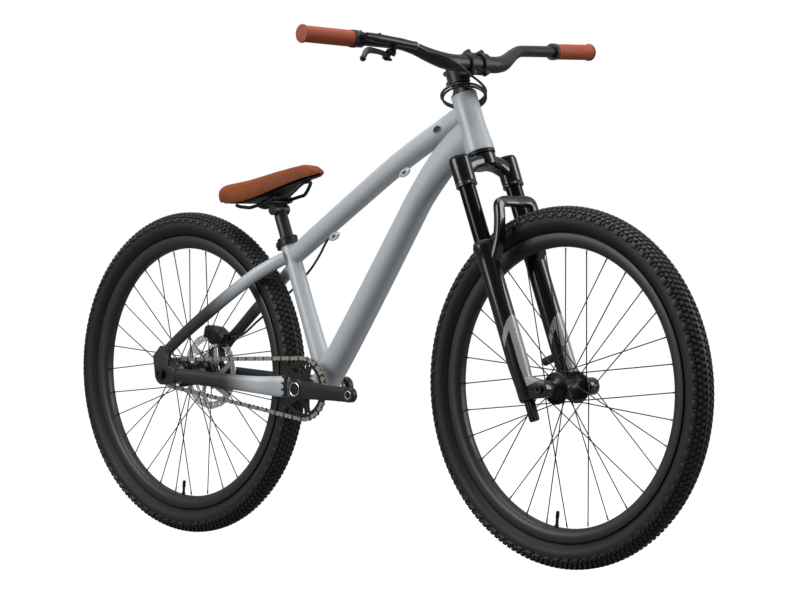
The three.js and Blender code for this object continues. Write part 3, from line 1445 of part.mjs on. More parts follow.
// Seatpost and saddle, in the seat tube's frame: +Z up the post, origin at the top of the seat tube
const seating = new THREE.Group();
seating.applyMatrix4(seatPlace);
bike.add(seating);

const post = { insertion: 96, headHeight: 80, headDrop: 16, headRadius: 11, headHalf: 20, wall: 2.6 };
// Saddle outlines as shares of its length from the tail: half width, crown height and lower edge
const saddle = { length: 264, tail: -128, baseDepth: 7, baseInset: 9, maxHalfWidth: 68, crownHeight: 62 };
const saddleShares = [
  [0, 0.38, 0.86, 0.66], [0.04, 0.72, 0.97, 0.55], [0.12, 0.96, 0.99, 0.42], [0.22, 1, 0.95, 0.32],
  [0.34, 0.9, 0.92, 0.28], [0.46, 0.72, 0.93, 0.32], [0.58, 0.54, 0.94, 0.4], [0.72, 0.38, 0.93, 0.47],
  [0.85, 0.31, 0.9, 0.5], [0.94, 0.25, 0.78, 0.48], [1, 0.13, 0.6, 0.47],
];

// The height of the shell's underside at a place along the saddle
function saddleUnder(x) {
  const share = (x - saddle.tail) / saddle.length;
  const next = saddleShares.findIndex(([lengthShare]) => lengthShare >= share);
  const [low, , , lowEdge] = saddleShares[next - 1];
  const [high, , , highEdge] = saddleShares[next];
  return lerp(lowEdge, highEdge, (share - low) / (high - low)) * saddle.crownHeight - saddle.baseDepth;
}

const railSides = 6;
const saddleTilt = degToRad(12);
const rails = { radius: 3.5, halfSpread: 22, rise: 2, back: -50, front: 58, tailBack: -80, noseFront: 98, tailGap: 1.7, noseGap: 0.4 };
// The rail's line: along, to the side and up, the way up as a share from the clamp to the shell's underside
const railShares = [[1, 1.3, 1], [0.62, 1.14, 0.42], [0.3, 1.03, 0.06], [0, 1, 0], [-0.3, 1, 0]];
const railNoseShares = [[-0.3, 1, 0], [0, 0.97, 0], [0.34, 0.82, 0.28], [0.66, 0.66, 0.7], [0.9, 0.42, 0.97], [1, 0, 1]];

function seatpostSolid() {
  const { insertion, headHeight, headDrop, headRadius, headHalf, wall } = post;
  const radius = seatTube.postRadius;
  const headMiddle = headHeight - headDrop;
  const shoulder = headMiddle - headRadius;
  const shaft = rod(V(0, 0, -insertion), V(0, 0, shoulder), radius, radius, fineSides);
  const neck = rod(V(0, 0, shoulder - gap), V(0, 0, headMiddle), radius, headRadius, fineSides);
  const cradle = rod(V(0, -headHalf, headMiddle), V(0, headHalf, headMiddle), headRadius);
  const bore = rod(V(0, 0, -insertion - overrun), V(0, 0, headHeight / 2), radius - wall);
  return cut(join(shaft, neck, cradle), bore);
}

// The saddle's frame: rails level along its own X, tipped nose up about the post's head
const saddlePlace = new THREE.Matrix4()
  .makeRotationY(Math.PI / 2 - seatAngle - saddleTilt)
  .setPosition(0, 0, post.headHeight);

function railPath() {
  const { rise, back, front, tailBack, noseFront, halfSpread } = rails;
  const tailRise = saddleUnder(tailBack) - rails.radius - rails.tailGap;
  const noseRise = saddleUnder(noseFront) - rails.radius - rails.noseGap;
  const half = [
    ...railShares.map(([a, out, up]) => V(lerp(back, tailBack, a), out * halfSpread, lerp(rise, tailRise, up))),
    ...railNoseShares.map(([a, out, up]) => V(lerp(front, noseFront, a), out * halfSpread, lerp(rise, noseRise, up))),
  ];
  return [...half, ...mirrored(half.slice(0, -1)).reverse()];
}

const railSolid = () => tube({
  path: railPath(),
  high: [2 * rails.radius, 2 * rails.radius],
  steps: 34,
  sides: railSides,
});
const railGrooves = () => {
  const groove = (side) => rod(
    V(rails.back * 0.65, side * rails.halfSpread, rails.rise),
    V(rails.front * 0.65, side * rails.halfSpread, rails.rise),
    clear(rails.radius, smallSides) + gap,
    clear(rails.radius, smallSides) + gap,
    smallSides,
  );
  return join(groove(1), groove(-1)).applyMatrix4(saddlePlace);
};

const railClamp = { halfLength: 17, depth: 10, height: 7, wall: 7 };

// Rail clamp: a block bored for both rails, its foot hollowed to tip on the post's round head
function saddleClampSolid() {
  const { halfLength, depth, height, wall } = railClamp;
  const side = rails.halfSpread + wall;
  const yoke = block(V(-halfLength, -side, rails.rise - depth), V(halfLength, side, rails.rise + height));
  const cradleRoom = rod(
    V(0, -2 * post.headHalf, post.headHeight - post.headDrop),
    V(0, 2 * post.headHalf, post.headHeight - post.headDrop),
    post.headRadius + gap,
  );
  return cut(yoke.applyMatrix4(saddlePlace), railGrooves(), cradleRoom);
}

// A domed section over a flat foot, at each station of the saddle
function saddleBody(top, bottom, narrow) {
  const rings = saddleShares.map(([lengthShare, widthShare, crownShare, edgeShare]) => {
    const x = saddle.tail + lengthShare * saddle.length;
    const half = Math.max(widthShare * saddle.maxHalfWidth - narrow, 1);
    const high = top(crownShare * saddle.crownHeight, edgeShare * saddle.crownHeight);
    const low = bottom(edgeShare * saddle.crownHeight);
    const dome = arc(0, 0, 1, Math.PI, 0, 8).map(([across, up]) => V(
      x,
      half * Math.sign(across) * Math.abs(across) ** 0.75,
      low + (high - low) * Math.abs(up) ** 0.6,
    ));
    return [...dome, V(x, half * 0.5, low), V(x, -half * 0.5, low)];
  });
  return skin(rings);
}

const coverSolid = () => saddleBody((crownTop) => crownTop, (edge) => edge + gap, 0);
const baseSolid = () => saddleBody((crownTop, edge) => edge, (edge) => edge - saddle.baseDepth, saddle.baseInset);
piece(seating, 'seatpost', satinBlack, seatpostSolid());
piece(seating, 'saddle_clamp', satinBlack, saddleClampSolid());
piece(seating, 'saddle_rails', satinBlack, railSolid().applyMatrix4(saddlePlace));
piece(seating, 'saddle_base', blackPlastic, baseSolid().applyMatrix4(saddlePlace));
piece(seating, 'saddle_cover', brownCover, coverSolid().applyMatrix4(saddlePlace));

export default bike;
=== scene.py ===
import math

import bmesh
import bpy
from mathutils import Matrix, Vector


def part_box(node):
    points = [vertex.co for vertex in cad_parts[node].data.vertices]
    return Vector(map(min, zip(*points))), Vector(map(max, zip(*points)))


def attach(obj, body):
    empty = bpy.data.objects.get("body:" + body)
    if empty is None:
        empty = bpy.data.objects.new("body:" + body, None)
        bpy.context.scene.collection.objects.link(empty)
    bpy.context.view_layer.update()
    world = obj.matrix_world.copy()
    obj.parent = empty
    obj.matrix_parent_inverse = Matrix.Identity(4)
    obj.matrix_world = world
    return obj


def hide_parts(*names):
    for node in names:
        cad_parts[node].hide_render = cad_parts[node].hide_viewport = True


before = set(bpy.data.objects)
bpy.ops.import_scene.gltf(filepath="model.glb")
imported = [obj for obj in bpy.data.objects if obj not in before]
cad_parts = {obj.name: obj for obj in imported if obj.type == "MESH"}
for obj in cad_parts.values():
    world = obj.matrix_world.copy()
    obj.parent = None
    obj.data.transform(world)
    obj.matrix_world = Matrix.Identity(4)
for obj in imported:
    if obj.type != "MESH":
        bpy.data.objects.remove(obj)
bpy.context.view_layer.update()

# Camera: a long lens from the right and slightly ahead of the bike, level with the head tube.
# Its place and turn were fitted to the wheels, frame and bar of the photograph.
camera_place = Vector((3.9262178, -3.9454953, 0.6103302))
camera_yaw, camera_pitch, camera_roll = 2.34165942, -0.02110634, -0.00645737
focal_pixels, photo_width, sensor_width = 2832.4124, 800, 36

level_length = math.cos(camera_pitch)
looking = Vector((math.cos(camera_yaw) * level_length, math.sin(camera_yaw) * level_length,
                  math.sin(camera_pitch)))
level_right = looking.cross(Vector((0, 0, 1))).normalized()
level_up = level_right.cross(looking)
right = math.cos(camera_roll) * level_right + math.sin(camera_roll) * level_up
up = -math.sin(camera_roll) * level_right + math.cos(camera_roll) * level_up
camera_data = bpy.data.cameras.new("camera")
camera_data.sensor_width = sensor_width
camera_data.lens = focal_pixels / photo_width * sensor_width
camera_data.clip_end = 100
camera = bpy.data.objects.new("camera", camera_data)
camera.matrix_world = Matrix((right, up, -looking)).transposed().to_4x4()
camera.matrix_world.translation = camera_place
bpy.context.collection.objects.link(camera)
bpy.context.scene.camera = camera
bpy.context.scene.view_settings.view_transform = "Standard"


# Studio: a white floor and a white surround that is dark behind the camera, with soft light from above,
# ahead and behind, so that the tubes are bright along both edges and dark along the middle.
def set_inputs(tree, node, inputs):
    """Gives each input its value, or joins it to another node's output."""
    for socket, value in inputs.items():
        if isinstance(value, bpy.types.NodeSocket):
            tree.links.new(value, node.inputs[socket])
        else:
            node.inputs[socket].default_value = value


def add_node(tree, kind, inputs, **settings):
    node = tree.nodes.new("ShaderNode" + kind)
    for setting, value in settings.items():
        setattr(node, setting, value)
    set_inputs(tree, node, inputs)
    return node


world = bpy.data.worlds.new("studio")
bpy.context.scene.world = world
world.use_nodes = True
air = world.node_tree
towards_camera = (0.705, -0.705, 0.08)
heading = add_node(air, "TexCoord", {}).outputs["Generated"]
facing = add_node(air, "VectorMath", {0: heading, 1: towards_camera}, operation="DOT_PRODUCT")
falloff = add_node(air, "MapRange", {"Value": facing.outputs["Value"], "From Min": 0.15, "From Max": 0.95,
                                     "To Min": 0.44, "To Max": 0.07}, interpolation_type="SMOOTHSTEP")
seen = add_node(air, "LightPath", {}).outputs["Is Camera Ray"]
level = add_node(air, "Mix", {0: seen, 2: falloff.outputs[0], 3: 1.0}, data_type="FLOAT")
set_inputs(air, air.nodes["Background"], {"Color": (1, 1, 1, 1), "Strength": level.outputs[0]})


def soft_lamp(name, place, aim, size, power):
    data = bpy.data.lights.new(name, "AREA")
    data.shape = "RECTANGLE"
    data.size, data.size_y = size
    data.energy = power
    lamp = bpy.data.objects.new(name, data)
    lamp.location = place
    lamp.rotation_euler = (Vector(aim) - Vector(place)).to_track_quat("-Z", "Y").to_euler()
    bpy.context.collection.objects.link(lamp)


soft_lamp("lamp_overhead", (0.3, -0.4, 3.4), (0, 0, 0.4), (3.0, 2.2), 88)
soft_lamp("lamp_ahead", (2.9, 2.1, 1.7), (0, 0, 0.5), (1.3, 2.4), 58)
soft_lamp("lamp_drive_side", (-1.3, -3.4, 1.8), (0, 0, 0.5), (2.2, 1.8), 66)

floor_mesh = bpy.data.meshes.new("floor")
bm = bmesh.new()
bmesh.ops.create_grid(bm, x_segments=1, y_segments=1, size=30)
bm.to_mesh(floor_mesh)
bm.free()
floor = bpy.data.objects.new("floor", floor_mesh)
floor.location.z = -0.0005
bpy.context.collection.objects.link(floor)
floor_paint = bpy.data.materials.new("floor_white")
floor_paint.use_nodes = True
board_tree = floor_paint.node_tree
board = board_tree.nodes["Principled BSDF"]
set_inputs(board_tree, board, {"Base Color": (0.2, 0.2, 0.2, 1), "Roughness": 0.9, "Specular IOR Level": 0.1})
glow = add_node(board_tree, "Emission", {"Strength": 0.96})
lit = add_node(board_tree, "AddShader", {0: board.outputs[0], 1: glow.outputs[0]})
seen = add_node(board_tree, "LightPath", {}).outputs["Is Camera Ray"]
only_camera = add_node(board_tree, "MixShader", {0: seen, 1: board.outputs[0], 2: lit.outputs[0]})
set_inputs(board_tree, board_tree.nodes["Material Output"], {"Surface": only_camera.outputs[0]})
floor_mesh.materials.append(floor_paint)

# Frame tubes: hydroformed aluminium, drawn thin, curved near the head, welded and painted in one coat.
# Each is a rounded section drawn along its own line and coped where it meets the next tube.
X_AXIS, Y_AXIS, Z_AXIS = Vector((1, 0, 0)), Vector((0, 1, 0)), Vector((0, 0, 1))
HEAD_ANGLE = math.radians(69)
HEAD_FOOT = Vector((0.3082072, 0, 0.7745178))
STEER = Matrix.Translation(HEAD_FOOT) @ Matrix.Rotation(HEAD_ANGLE - math.pi / 2, 4, "Y")
STEER_UP = STEER.to_3x3() @ Z_AXIS
SEAT_ANGLE = math.radians(68.5)
SEAT_TOP = Vector((-0.2217, 0, 0.6138))
SEAT = Matrix.Translation(SEAT_TOP) @ Matrix.Rotation(SEAT_ANGLE - math.pi / 2, 4, "Y")
SEAT_UP = SEAT.to_3x3() @ Z_AXIS
BRACKET = Vector((-0.12716944, 0, 0.3165))
REAR_AXLE = Vector((-0.519, 0, 0.337))
FRONT_AXLE = Vector((0.519, 0, 0.337))
head_length = 0.118


def mm(*values):
    return Vector(values) / 1000


def placed(place, turn=0.0, axis="Y"):
    """A turn about an axis through the origin, then a move to a place."""
    return Matrix.Translation(place) @ Matrix.Rotation(turn, 4, axis)


def on_line(points, share):
    """A point of the smooth line through the points, at a share of its stations."""
    place = min(share * (len(points) - 1), len(points) - 1 - 1e-9)
    k = int(place)
    t = place - k
    b, c = points[k], points[k + 1]
    a = points[k - 1] if k else 2 * b - c
    d = points[k + 2] if k + 2 < len(points) else 2 * c - b
    ab, bc, cd = (max((q - p).length, 1e-7) ** 0.5 for p, q in ((a, b), (b, c), (c, d)))
    leaving = ((b - a) / ab - (c - a) / (ab + bc) + (c - b) / bc) * bc
    arriving = ((c - b) / bc - (d - b) / (bc + cd) + (d - c) / cd) * bc
    bend = (3 * (c - b) - 2 * leaving - arriving) * t * t
    return b + leaving * t + bend + (2 * (b - c) + leaving + arriving) * t ** 3


def between(values, share):
    place = share * (len(values) - 1)
    k = min(int(place), len(values) - 2)
    return values[k] + (values[k + 1] - values[k]) * (place - k)


def rounded(sides, square=2.0):
    """A unit section, round at 2 and squarer above it."""
    turns = [2 * math.pi * (k + 0.5) / sides for k in range(sides)]
    return [(math.copysign(abs(math.cos(t)) ** (2 / square), math.cos(t)),
             math.copysign(abs(math.sin(t)) ** (2 / square), math.sin(t))) for t in turns]


def draw_section(bm, places, section):
    """Extrudes a section from place to place and closes its two ends."""
    ring = [bm.verts.new(places[0] @ Vector((x, y, 0))) for x, y in section]
    edges = [bm.edges.new((ring[k], ring[(k + 1) % len(ring)])) for k in range(len(ring))]
    first = edges
    made = list(ring)
    for before, after in zip(places, places[1:]):
        grown = bmesh.ops.extrude_edge_only(bm, edges=edges)["geom"]
        verts = [g for g in grown if isinstance(g, bmesh.types.BMVert)]
        edges = [g for g in grown if isinstance(g, bmesh.types.BMEdge) and g.is_boundary]
        bmesh.ops.transform(bm, matrix=after @ before.inverted(), verts=verts)
        made += verts
    for end in (first, edges):
        bmesh.ops.edgeloop_fill(bm, edges=end)
    return made


def draw_bar(bm, line, high, wide, steps, sides, square=2.0, upwards=Z_AXIS):
    """Draws a rounded section along a smooth line; its heights and widths are in millimetres."""
    high, wide = [h / 1000 for h in high], [w / 1000 for w in wide]
    places = []
    for s in range(steps + 1):
        share = s / steps
        ahead = on_line(line, min(share + 1e-4, 1)) - on_line(line, max(share - 1e-4, 0))
        ahead.normalize()
        side = upwards.cross(ahead).normalized()
        top = ahead.cross(side)
        across, upright = side * between(wide, share) / 2, top * between(high, share) / 2
        turn = Matrix((across, upright, ahead * 0.01)).transposed().to_4x4()
        places.append(Matrix.Translation(on_line(line, share)) @ turn)
    return draw_section(bm, places, rounded(sides, square))


def cope(verts, through, axis, radius, back):
    """Draws the points that lie inside a round tube back along a direction to its wall."""
    back = back.normalized()
    flat_back = back - axis * back.dot(axis)
    for vert in verts:
        off = vert.co - through
        off -= axis * off.dot(axis)
        if off.length < radius:
            a, b, c = flat_back.length_squared, 2 * off.dot(flat_back), off.length_squared - radius ** 2
            vert.co += back * ((-b + math.sqrt(b * b - 4 * a * c)) / (2 * a))


def span(start, end, shares, side=1):
    """A line between two points, each station a share along, above and beside it."""
    run = end - start
    above = Vector((-run.z, 0, run.x)).normalized()
    return [start + run * a + (above * rise + Y_AXIS * side * out) * run.length for a, rise, out in shares]


def make_piece(bm, name, body, material, node=None, place=None, smooth=35):
    """Turns a finished bmesh into a named piece of the bike that rides on a body."""
    if place is not None:
        bmesh.ops.transform(bm, matrix=place, verts=bm.verts)
    bmesh.ops.remove_doubles(bm, verts=bm.verts, dist=1e-6)
    bmesh.ops.recalc_face_normals(bm, faces=bm.faces)
    mesh = bpy.data.meshes.new(name)
    bm.to_mesh(mesh)
    bm.free()
    for face in mesh.polygons:
        face.use_smooth = True
    mesh.set_sharp_from_angle(angle=math.radians(smooth))
    for each in material if isinstance(material, list) else [material]:
        mesh.materials.append(each)
    piece = bpy.data.objects.new(name, mesh)
    bpy.context.collection.objects.link(piece)
    if node:
        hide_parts(node)
    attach(piece, body)
    return piece


def surface(name, colour, roughness, metallic=0.0, speckle=0.06, speckle_scale=900, bump=0.02,
            bump_scale=1500, coat=0.0, dark=None, fade=None, wear=0.08, shine=0.5):
    """A finish with a fine speckle, a slow change of roughness, a little bump and perhaps a fade along X."""
    material = bpy.data.materials.new(name)
    material.use_nodes = True
    tree = material.node_tree
    place = add_node(tree, "TexCoord", {}).outputs["Object"]
    fine = add_node(tree, "TexNoise", {"Vector": place, "Scale": speckle_scale, "Detail": 2})
    slow = add_node(tree, "TexNoise", {"Vector": place, "Scale": 9, "Detail": 3})
    shade = add_node(tree, "Mix", {0: fine.outputs["Fac"], 6: (*[c * (1 - speckle) for c in colour], 1),
                                   7: (*[min(c * (1 + speckle), 1) for c in colour], 1)}, data_type="RGBA")
    colour_out = shade.outputs[2]
    if fade:
        along = add_node(tree, "SeparateXYZ", {0: place}).outputs["X"]
        run = add_node(tree, "MapRange", {"Value": along, "From Min": fade[0], "From Max": fade[1]},
                       interpolation_type="SMOOTHSTEP")
        colour_out = add_node(tree, "Mix", {0: run.outputs[0], 6: (*dark, 1), 7: colour_out},
                              data_type="RGBA").outputs[2]
    gloss = add_node(tree, "MapRange", {"Value": slow.outputs["Fac"], "To Min": max(roughness - wear, 0.02),
                                        "To Max": roughness + wear})
    skin = tree.nodes["Principled BSDF"]
    set_inputs(tree, skin, {"Base Color": colour_out, "Roughness": gloss.outputs[0], "Metallic": metallic,
                            "Coat Weight": coat, "Coat Roughness": 0.08, "Specular IOR Level": shine})
    if bump:
        grain = add_node(tree, "TexNoise", {"Vector": place, "Scale": bump_scale})
        raised = add_node(tree, "Bump", {"Height": grain.outputs["Fac"], "Strength": bump,
                                         "Distance": 0.0006})
        set_inputs(tree, skin, {"Normal": raised.outputs[0]})
    return material


def turned(bm, profile, steps=56, axis=Z_AXIS, closed=True):
    """Spins a profile of radius and height in millimetres once round an axis."""
    points = [bm.verts.new((X_AXIS * r + axis * h) / 1000) for r, h in profile]
    pairs = list(zip(points, points[1:])) + ([(points[-1], points[0])] if closed else [])
    edges = [bm.edges.new(pair) for pair in pairs]
    bmesh.ops.spin(bm, geom=points + edges, cent=(0, 0, 0), axis=axis, angle=2 * math.pi, steps=steps,
                   use_merge=True)
    bmesh.ops.remove_doubles(bm, verts=bm.verts, dist=1e-6)


def add_turned(bm, profile, place, steps=48, axis=Z_AXIS, closed=True):
    """Adds a spun part to another one's mesh at its own place."""
    part = bmesh.new()
    turned(part, profile, steps, axis, closed)
    bmesh.ops.transform(part, matrix=place, verts=part.verts)
    scratch = bpy.data.meshes.new("part")
    part.to_mesh(scratch)
    part.free()
    bm.from_mesh(scratch)
    bpy.data.meshes.remove(scratch)


def turned_piece(name, body, material, node, place, profile, steps=56, axis=Z_AXIS, closed=True):
    bm = bmesh.new()
    turned(bm, profile, steps, axis, closed)
    make_piece(bm, name, body, material, node, place)


frame_grey, frame_charcoal = (0.475, 0.507, 0.538), (0.018, 0.018, 0.020)
frame_coat = dict(roughness=0.4, metallic=0.1, speckle=0.05, coat=0.15)
paint_grey = surface("frame_paint_grey", frame_grey, **frame_coat)

down_line = span(BRACKET, HEAD_FOOT + STEER_UP * head_length * 0.42, [
    (0, -0.004, 0), (0.16, 0.001, 0), (0.39, 0.015, 0), (0.6, 0.03, 0), (0.72, 0.0375, 0), (0.86, 0.03, 0),
    (1, 0, 0)])
bm = bmesh.new()
verts = draw_bar(bm, down_line, [56, 55, 54, 52, 52, 60, 68], [52, 52, 51, 50, 49, 46, 42], 60, 40, 2.3)
cope(verts, HEAD_FOOT, STEER_UP, 0.0235, BRACKET - HEAD_FOOT)
cope(verts, BRACKET, Y_AXIS, 0.0215, HEAD_FOOT - BRACKET)
make_piece(bm, "tube_down", "frame", paint_grey, "down_tube")

seat_join = SEAT_TOP - SEAT_UP * 0.040
top_line = span(seat_join, HEAD_FOOT + STEER_UP * head_length * 0.7, [
    (0, 0, 0), (0.16, 0.006, 0), (0.37, 0.013, 0), (0.66, 0.019, 0), (0.88, 0.008, 0), (1, 0, 0)])
bm = bmesh.new()
verts = draw_bar(bm, top_line, [35, 37, 38, 39, 40, 42], [31, 33, 36, 39, 41, 42], 60, 40, 2.7)
cope(verts, HEAD_FOOT, STEER_UP, 0.0235, seat_join - HEAD_FOOT)
cope(verts, SEAT_TOP, SEAT_UP, 0.0165, HEAD_FOOT - seat_join)
make_piece(bm, "tube_top", "frame", paint_grey, "top_tube")

bm = bmesh.new()
seat_run = [SEAT_TOP - SEAT_UP * d for d in (0.2985, 0.156, 0.0)]
draw_bar(bm, seat_run, [40, 34.4, 34.4], [40, 34.4, 34.4], 16, 40, upwards=X_AXIS)
make_piece(bm, "tube_seat", "frame", paint_grey, "seat_tube")
turned_piece("tube_head", "frame", paint_grey, "head_tube", STEER, [
    (23.4, 0), (27.2, 0), (27.8, 0.8), (27.8, 12), (27.3, 16), (24.6, 50), (24.4, 62), (24.8, 117),
    (24.2, 118), (20.8, 118), (20.4, 60), (23.4, 14)], 72)
turned_piece("bracket_shell", "frame", paint_grey, "bottom_bracket_shell", placed(BRACKET), [
    (20.5, -36.5), (21.6, -36.5), (22, -36), (22, 36), (21.6, 36.5), (20.5, 36.5)], 56, Y_AXIS)

# Rear stays: flattened aluminium bars that widen round the tyre and end in forged plates for the axle.
# Their paint fades from the frame's grey to charcoal towards the axle.
SIDES = (("left", 1), ("right", -1))
FULL_TURN = 2 * math.pi


def polar(radius, turn):
    return (radius * math.cos(turn), radius * math.sin(turn))


def thick_face(bm, corners, depth, rounding=0.0):
    """Gives a flat face a thickness along Y, in millimetres, and rounds over the edges of both its sides."""
    face = bm.faces.new([bm.verts.new(corner) for corner in corners])
    near = set(face.verts)
    grown = bmesh.ops.extrude_face_region(bm, geom=[face], use_keep_orig=True)["geom"]
    far = {g for g in grown if isinstance(g, bmesh.types.BMVert)}
    bmesh.ops.translate(bm, vec=mm(0, depth, 0), verts=list(far))
    if rounding:
        edges = [e for e in bm.edges if all(v in near for v in e.verts) or all(v in far for v in e.verts)]
        bmesh.ops.bevel(bm, geom=edges, offset=rounding, affect="EDGES", segments=3, profile=0.5, material=-1)
    return near | far


paint_chainstay = surface("chainstay_paint_fading", frame_grey, dark=frame_charcoal, fade=(-0.345, -0.245),
                          **frame_coat)
paint_seatstay = surface("seatstay_paint_fading", frame_grey, dark=frame_charcoal, fade=(-0.395, -0.285),
                         **frame_coat)
plate_outline = [(-28, 36)] + [polar(-23, math.radians(10 * k)) for k in range(10)]
plate_outline += [(36, -19.8), (42.9, 10.4), (17.3, 17.3), (23.9, 55.4), (-4.9, 57.7)]
for label, side in SIDES:
    chain_line = span(REAR_AXLE + mm(18, 0, 0), BRACKET, [
        (0, 0, 0.194), (0.2, -0.004, 0.183), (0.52, -0.006, 0.168), (0.69, -0.007, 0.143),
        (0.8, -0.006, 0.105), (0.92, 0, 0.094)], side)
    bm = bmesh.new()
    verts = draw_bar(bm, chain_line, [26, 29, 31, 36, 43, 42], [15, 16, 16, 15, 13, 13], 48, 32, 2.8)
    cope(verts, BRACKET, Y_AXIS, 0.0223, REAR_AXLE - BRACKET)
    thick_face(bm, [REAR_AXLE + mm(x, side * 70.6, z) for x, z in plate_outline], side * 9.3, 0.0012)
    make_piece(bm, f"stay_chain_{label}", "frame", paint_chainstay, f"{label}_chainstay")

    foot = REAR_AXLE + mm(11, 0, 47)
    head = SEAT_TOP - SEAT_UP * 0.038
    seat_line = span(foot, head, [
        (0, 0, 0.209), (0.16, 0.004, 0.208), (0.36, 0.01, 0.186), (0.62, 0.014, 0.152), (0.8, 0.011, 0.122),
        (0.92, 0.005, 0.08), (0.99, 0, 0.045)], side)
    bm = bmesh.new()
    verts = draw_bar(bm, seat_line, [24, 25, 26, 26, 26, 26, 25], [12, 12, 15, 17, 18, 19, 20], 52, 32, 2.5)
    cope(verts, SEAT_TOP, SEAT_UP, 0.0168, foot - head + Y_AXIS * side * 0.1)
    make_piece(bm, f"stay_seat_{label}", "frame", paint_seatstay, f"{label}_seatstay")


# Seat clamp: a black turned collar over the top of the seat tube, split behind and pulled tight by one bolt.
# The bolt goes through a lug on each side of the split.
def block(bm, place, sizes, rounding=0.0):
    """Adds a block of a size in millimetres, with its edges rounded over."""
    verts = bmesh.ops.create_cube(bm, size=1)["verts"]
    bmesh.ops.transform(bm, matrix=place @ Matrix.Diagonal((*mm(*sizes), 1)), verts=verts)
    if rounding:
        edges = [e for e in bm.edges if all(v in verts for v in e.verts)]
        bmesh.ops.bevel(bm, geom=edges, offset=rounding, affect="EDGES", segments=3, profile=0.5, material=-1)


def peg(bm, place, axis, radius, depth, sides):
    """Adds a straight peg whose turn is given by an axis and a quarter turn about it."""
    bmesh.ops.create_cone(bm, cap_ends=True, segments=sides, radius1=radius / 1000, radius2=radius / 1000,
                          depth=depth / 1000, matrix=placed(place, math.pi / 2, axis))


black_anodised = surface("black_anodised", (0.011, 0.011, 0.012), 0.36, metallic=0.2, shine=0.4, speckle=0.1,
                         bump=0.05)
bolt_steel = surface("bolt_steel", (0.30, 0.30, 0.31), 0.3, metallic=0.9)
bm = bmesh.new()
turned(bm, [(17.5, -14.7), (20.2, -14.7), (20.9, -14), (20.9, -10), (20.2, -9.2), (20.2, -2.5), (20.9, -1.6),
            (20.9, 2), (20.2, 2.7), (13.9, 2.7), (13.9, 0.3), (17.5, 0.3)], 64)
for side in (-1, 1):
    block(bm, placed(mm(-23.5, side * 4.2, -6)), (11, 6.6, 17.2), 0.0012)
for side, radius, depth in ((-1, 3.6, 3.0), (1, 3.2, 1.5)):
    peg(bm, mm(-24, side * 8.2, -6), "X", radius, depth, 20)
make_piece(bm, "collar_seat", "frame", black_anodised, "seat_clamp", SEAT)

# Headset: black pressed cups; the lower one shows as a thin ring under the head tube,
# the upper one is a tall cone that the hose loops pass round. A spacer and the stem's cap close it.
for name, body, node, profile in (
        ("headset_cup_low", "frame", "headset_lower_cup", [
            (21, -6.7), (26.6, -6.7), (27.5, -6), (27.8, -0.3), (21, -0.3)]),
        ("headset_cup_high", "frame", "headset_upper_cup", [
            (15, 118.3), (24.4, 118.3), (24.8, 118.9), (24.2, 120.2), (21.5, 123), (19.2, 127), (17.3, 131.4),
            (16.8, 132), (15, 132)]),
        ("spacer", "steering", "headset_spacer", [
            (14.7, 132.3), (16.6, 132.3), (17, 132.8), (17, 136.4), (16.6, 136.9), (17, 137.3), (17, 140.8),
            (16.6, 141.2), (14.7, 141.2)])):
    turned_piece(name, body, black_anodised, node, STEER, profile, 64)
turned_piece("stem_cap", "steering", black_anodised, "headset_top_cap", STEER, [
    (0, 179.8), (16.6, 179.8), (17, 180.3), (17, 181.6), (16, 183.4), (6.4, 183.6), (5.6, 185.4),
    (4.9, 185.5), (2.9, 185.5), (2.7, 181.8), (0, 181.8)], 64, closed=False)

# Top tube fittings: an oval rubber plug in a raised rim over the unused cable hole,
# and two small painted eyelets below the tube that a cable can be tied to, each with a dark disc in its hole
# as painted shade.
# Black rubber for the plug; the same black is painted shade in the eyelets' holes.
plug_rubber_and_painted_shade = surface("plug_rubber_and_painted_shade", (0.012, 0.012, 0.013), 0.6)
plug_low, plug_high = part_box("top_tube_grommet")
plug_centre = (Vector(plug_low) + Vector(plug_high)) / 2
plug_height_share = 0.565
top_ahead = (on_line(top_line, 0.81) - on_line(top_line, 0.78)).normalized()
lie = Matrix((top_ahead, top_ahead.cross(-Y_AXIS) * -plug_height_share, -Y_AXIS)).transposed().to_4x4()
plug_place = placed(plug_centre + mm(0, 1.4, 0)) @ lie
turned_piece("plug_cable_hole", "frame", plug_rubber_and_painted_shade, "top_tube_grommet", plug_place, [
    (0, 0), (9.2, 0), (9.2, 1.2), (8.2, 2.4), (7.2, 1.6), (4, 1.3), (0, 2.4)], 40, closed=False)
turned_piece("plug_rim", "frame", paint_grey, None, plug_place, [
    (9.4, -0.6), (11.5, -0.6), (11.3, 1.2), (10.6, 2.0), (9.7, 1.9), (9.4, 1.2)], 40)
eyelet_width = 0.0132
eyelets, painted_hole_shades = bmesh.new(), bmesh.new()
for low, high in ((mm(-86.4, -14, 612.6), mm(-58, -14, 625.3)),
                  (mm(108.2, -14, 734.5), mm(136.5, -14, 747.4))):
    along = (high - low).normalized()
    beneath = along.cross(Y_AXIS)
    turn = Matrix((along * (high - low).length / eyelet_width, -Y_AXIS, beneath * 1.15)).transposed().to_4x4()
    lug = placed((low + high) / 2) @ turn @ Matrix.Rotation(math.pi / 2, 4, "X")
    add_turned(eyelets, [(2.3, -2.0), (5.8, -2.0), (6.6, -1.0), (6.6, 1.0), (5.8, 2.0), (2.3, 2.0)], lug, 40)
    # A dark disc in each eyelet's hole, in the plug's black, is painted shade.
    add_turned(painted_hole_shades, [(0, -1.2), (2.4, -1.2), (2.4, 1.2), (0, 1.2)], lug, 40, closed=False)
make_piece(eyelets, "cable_eyelets", "frame", paint_grey)
make_piece(painted_hole_shades, "eyelet_painted_hole_shades", "frame", plug_rubber_and_painted_shade)


# Bottom bracket: black screwed cups with a rounded flange on each side of the shell,
# and a hollow steel spindle through both.
def outward(side, profile):
    return [(r, side * y) for r, y in profile]


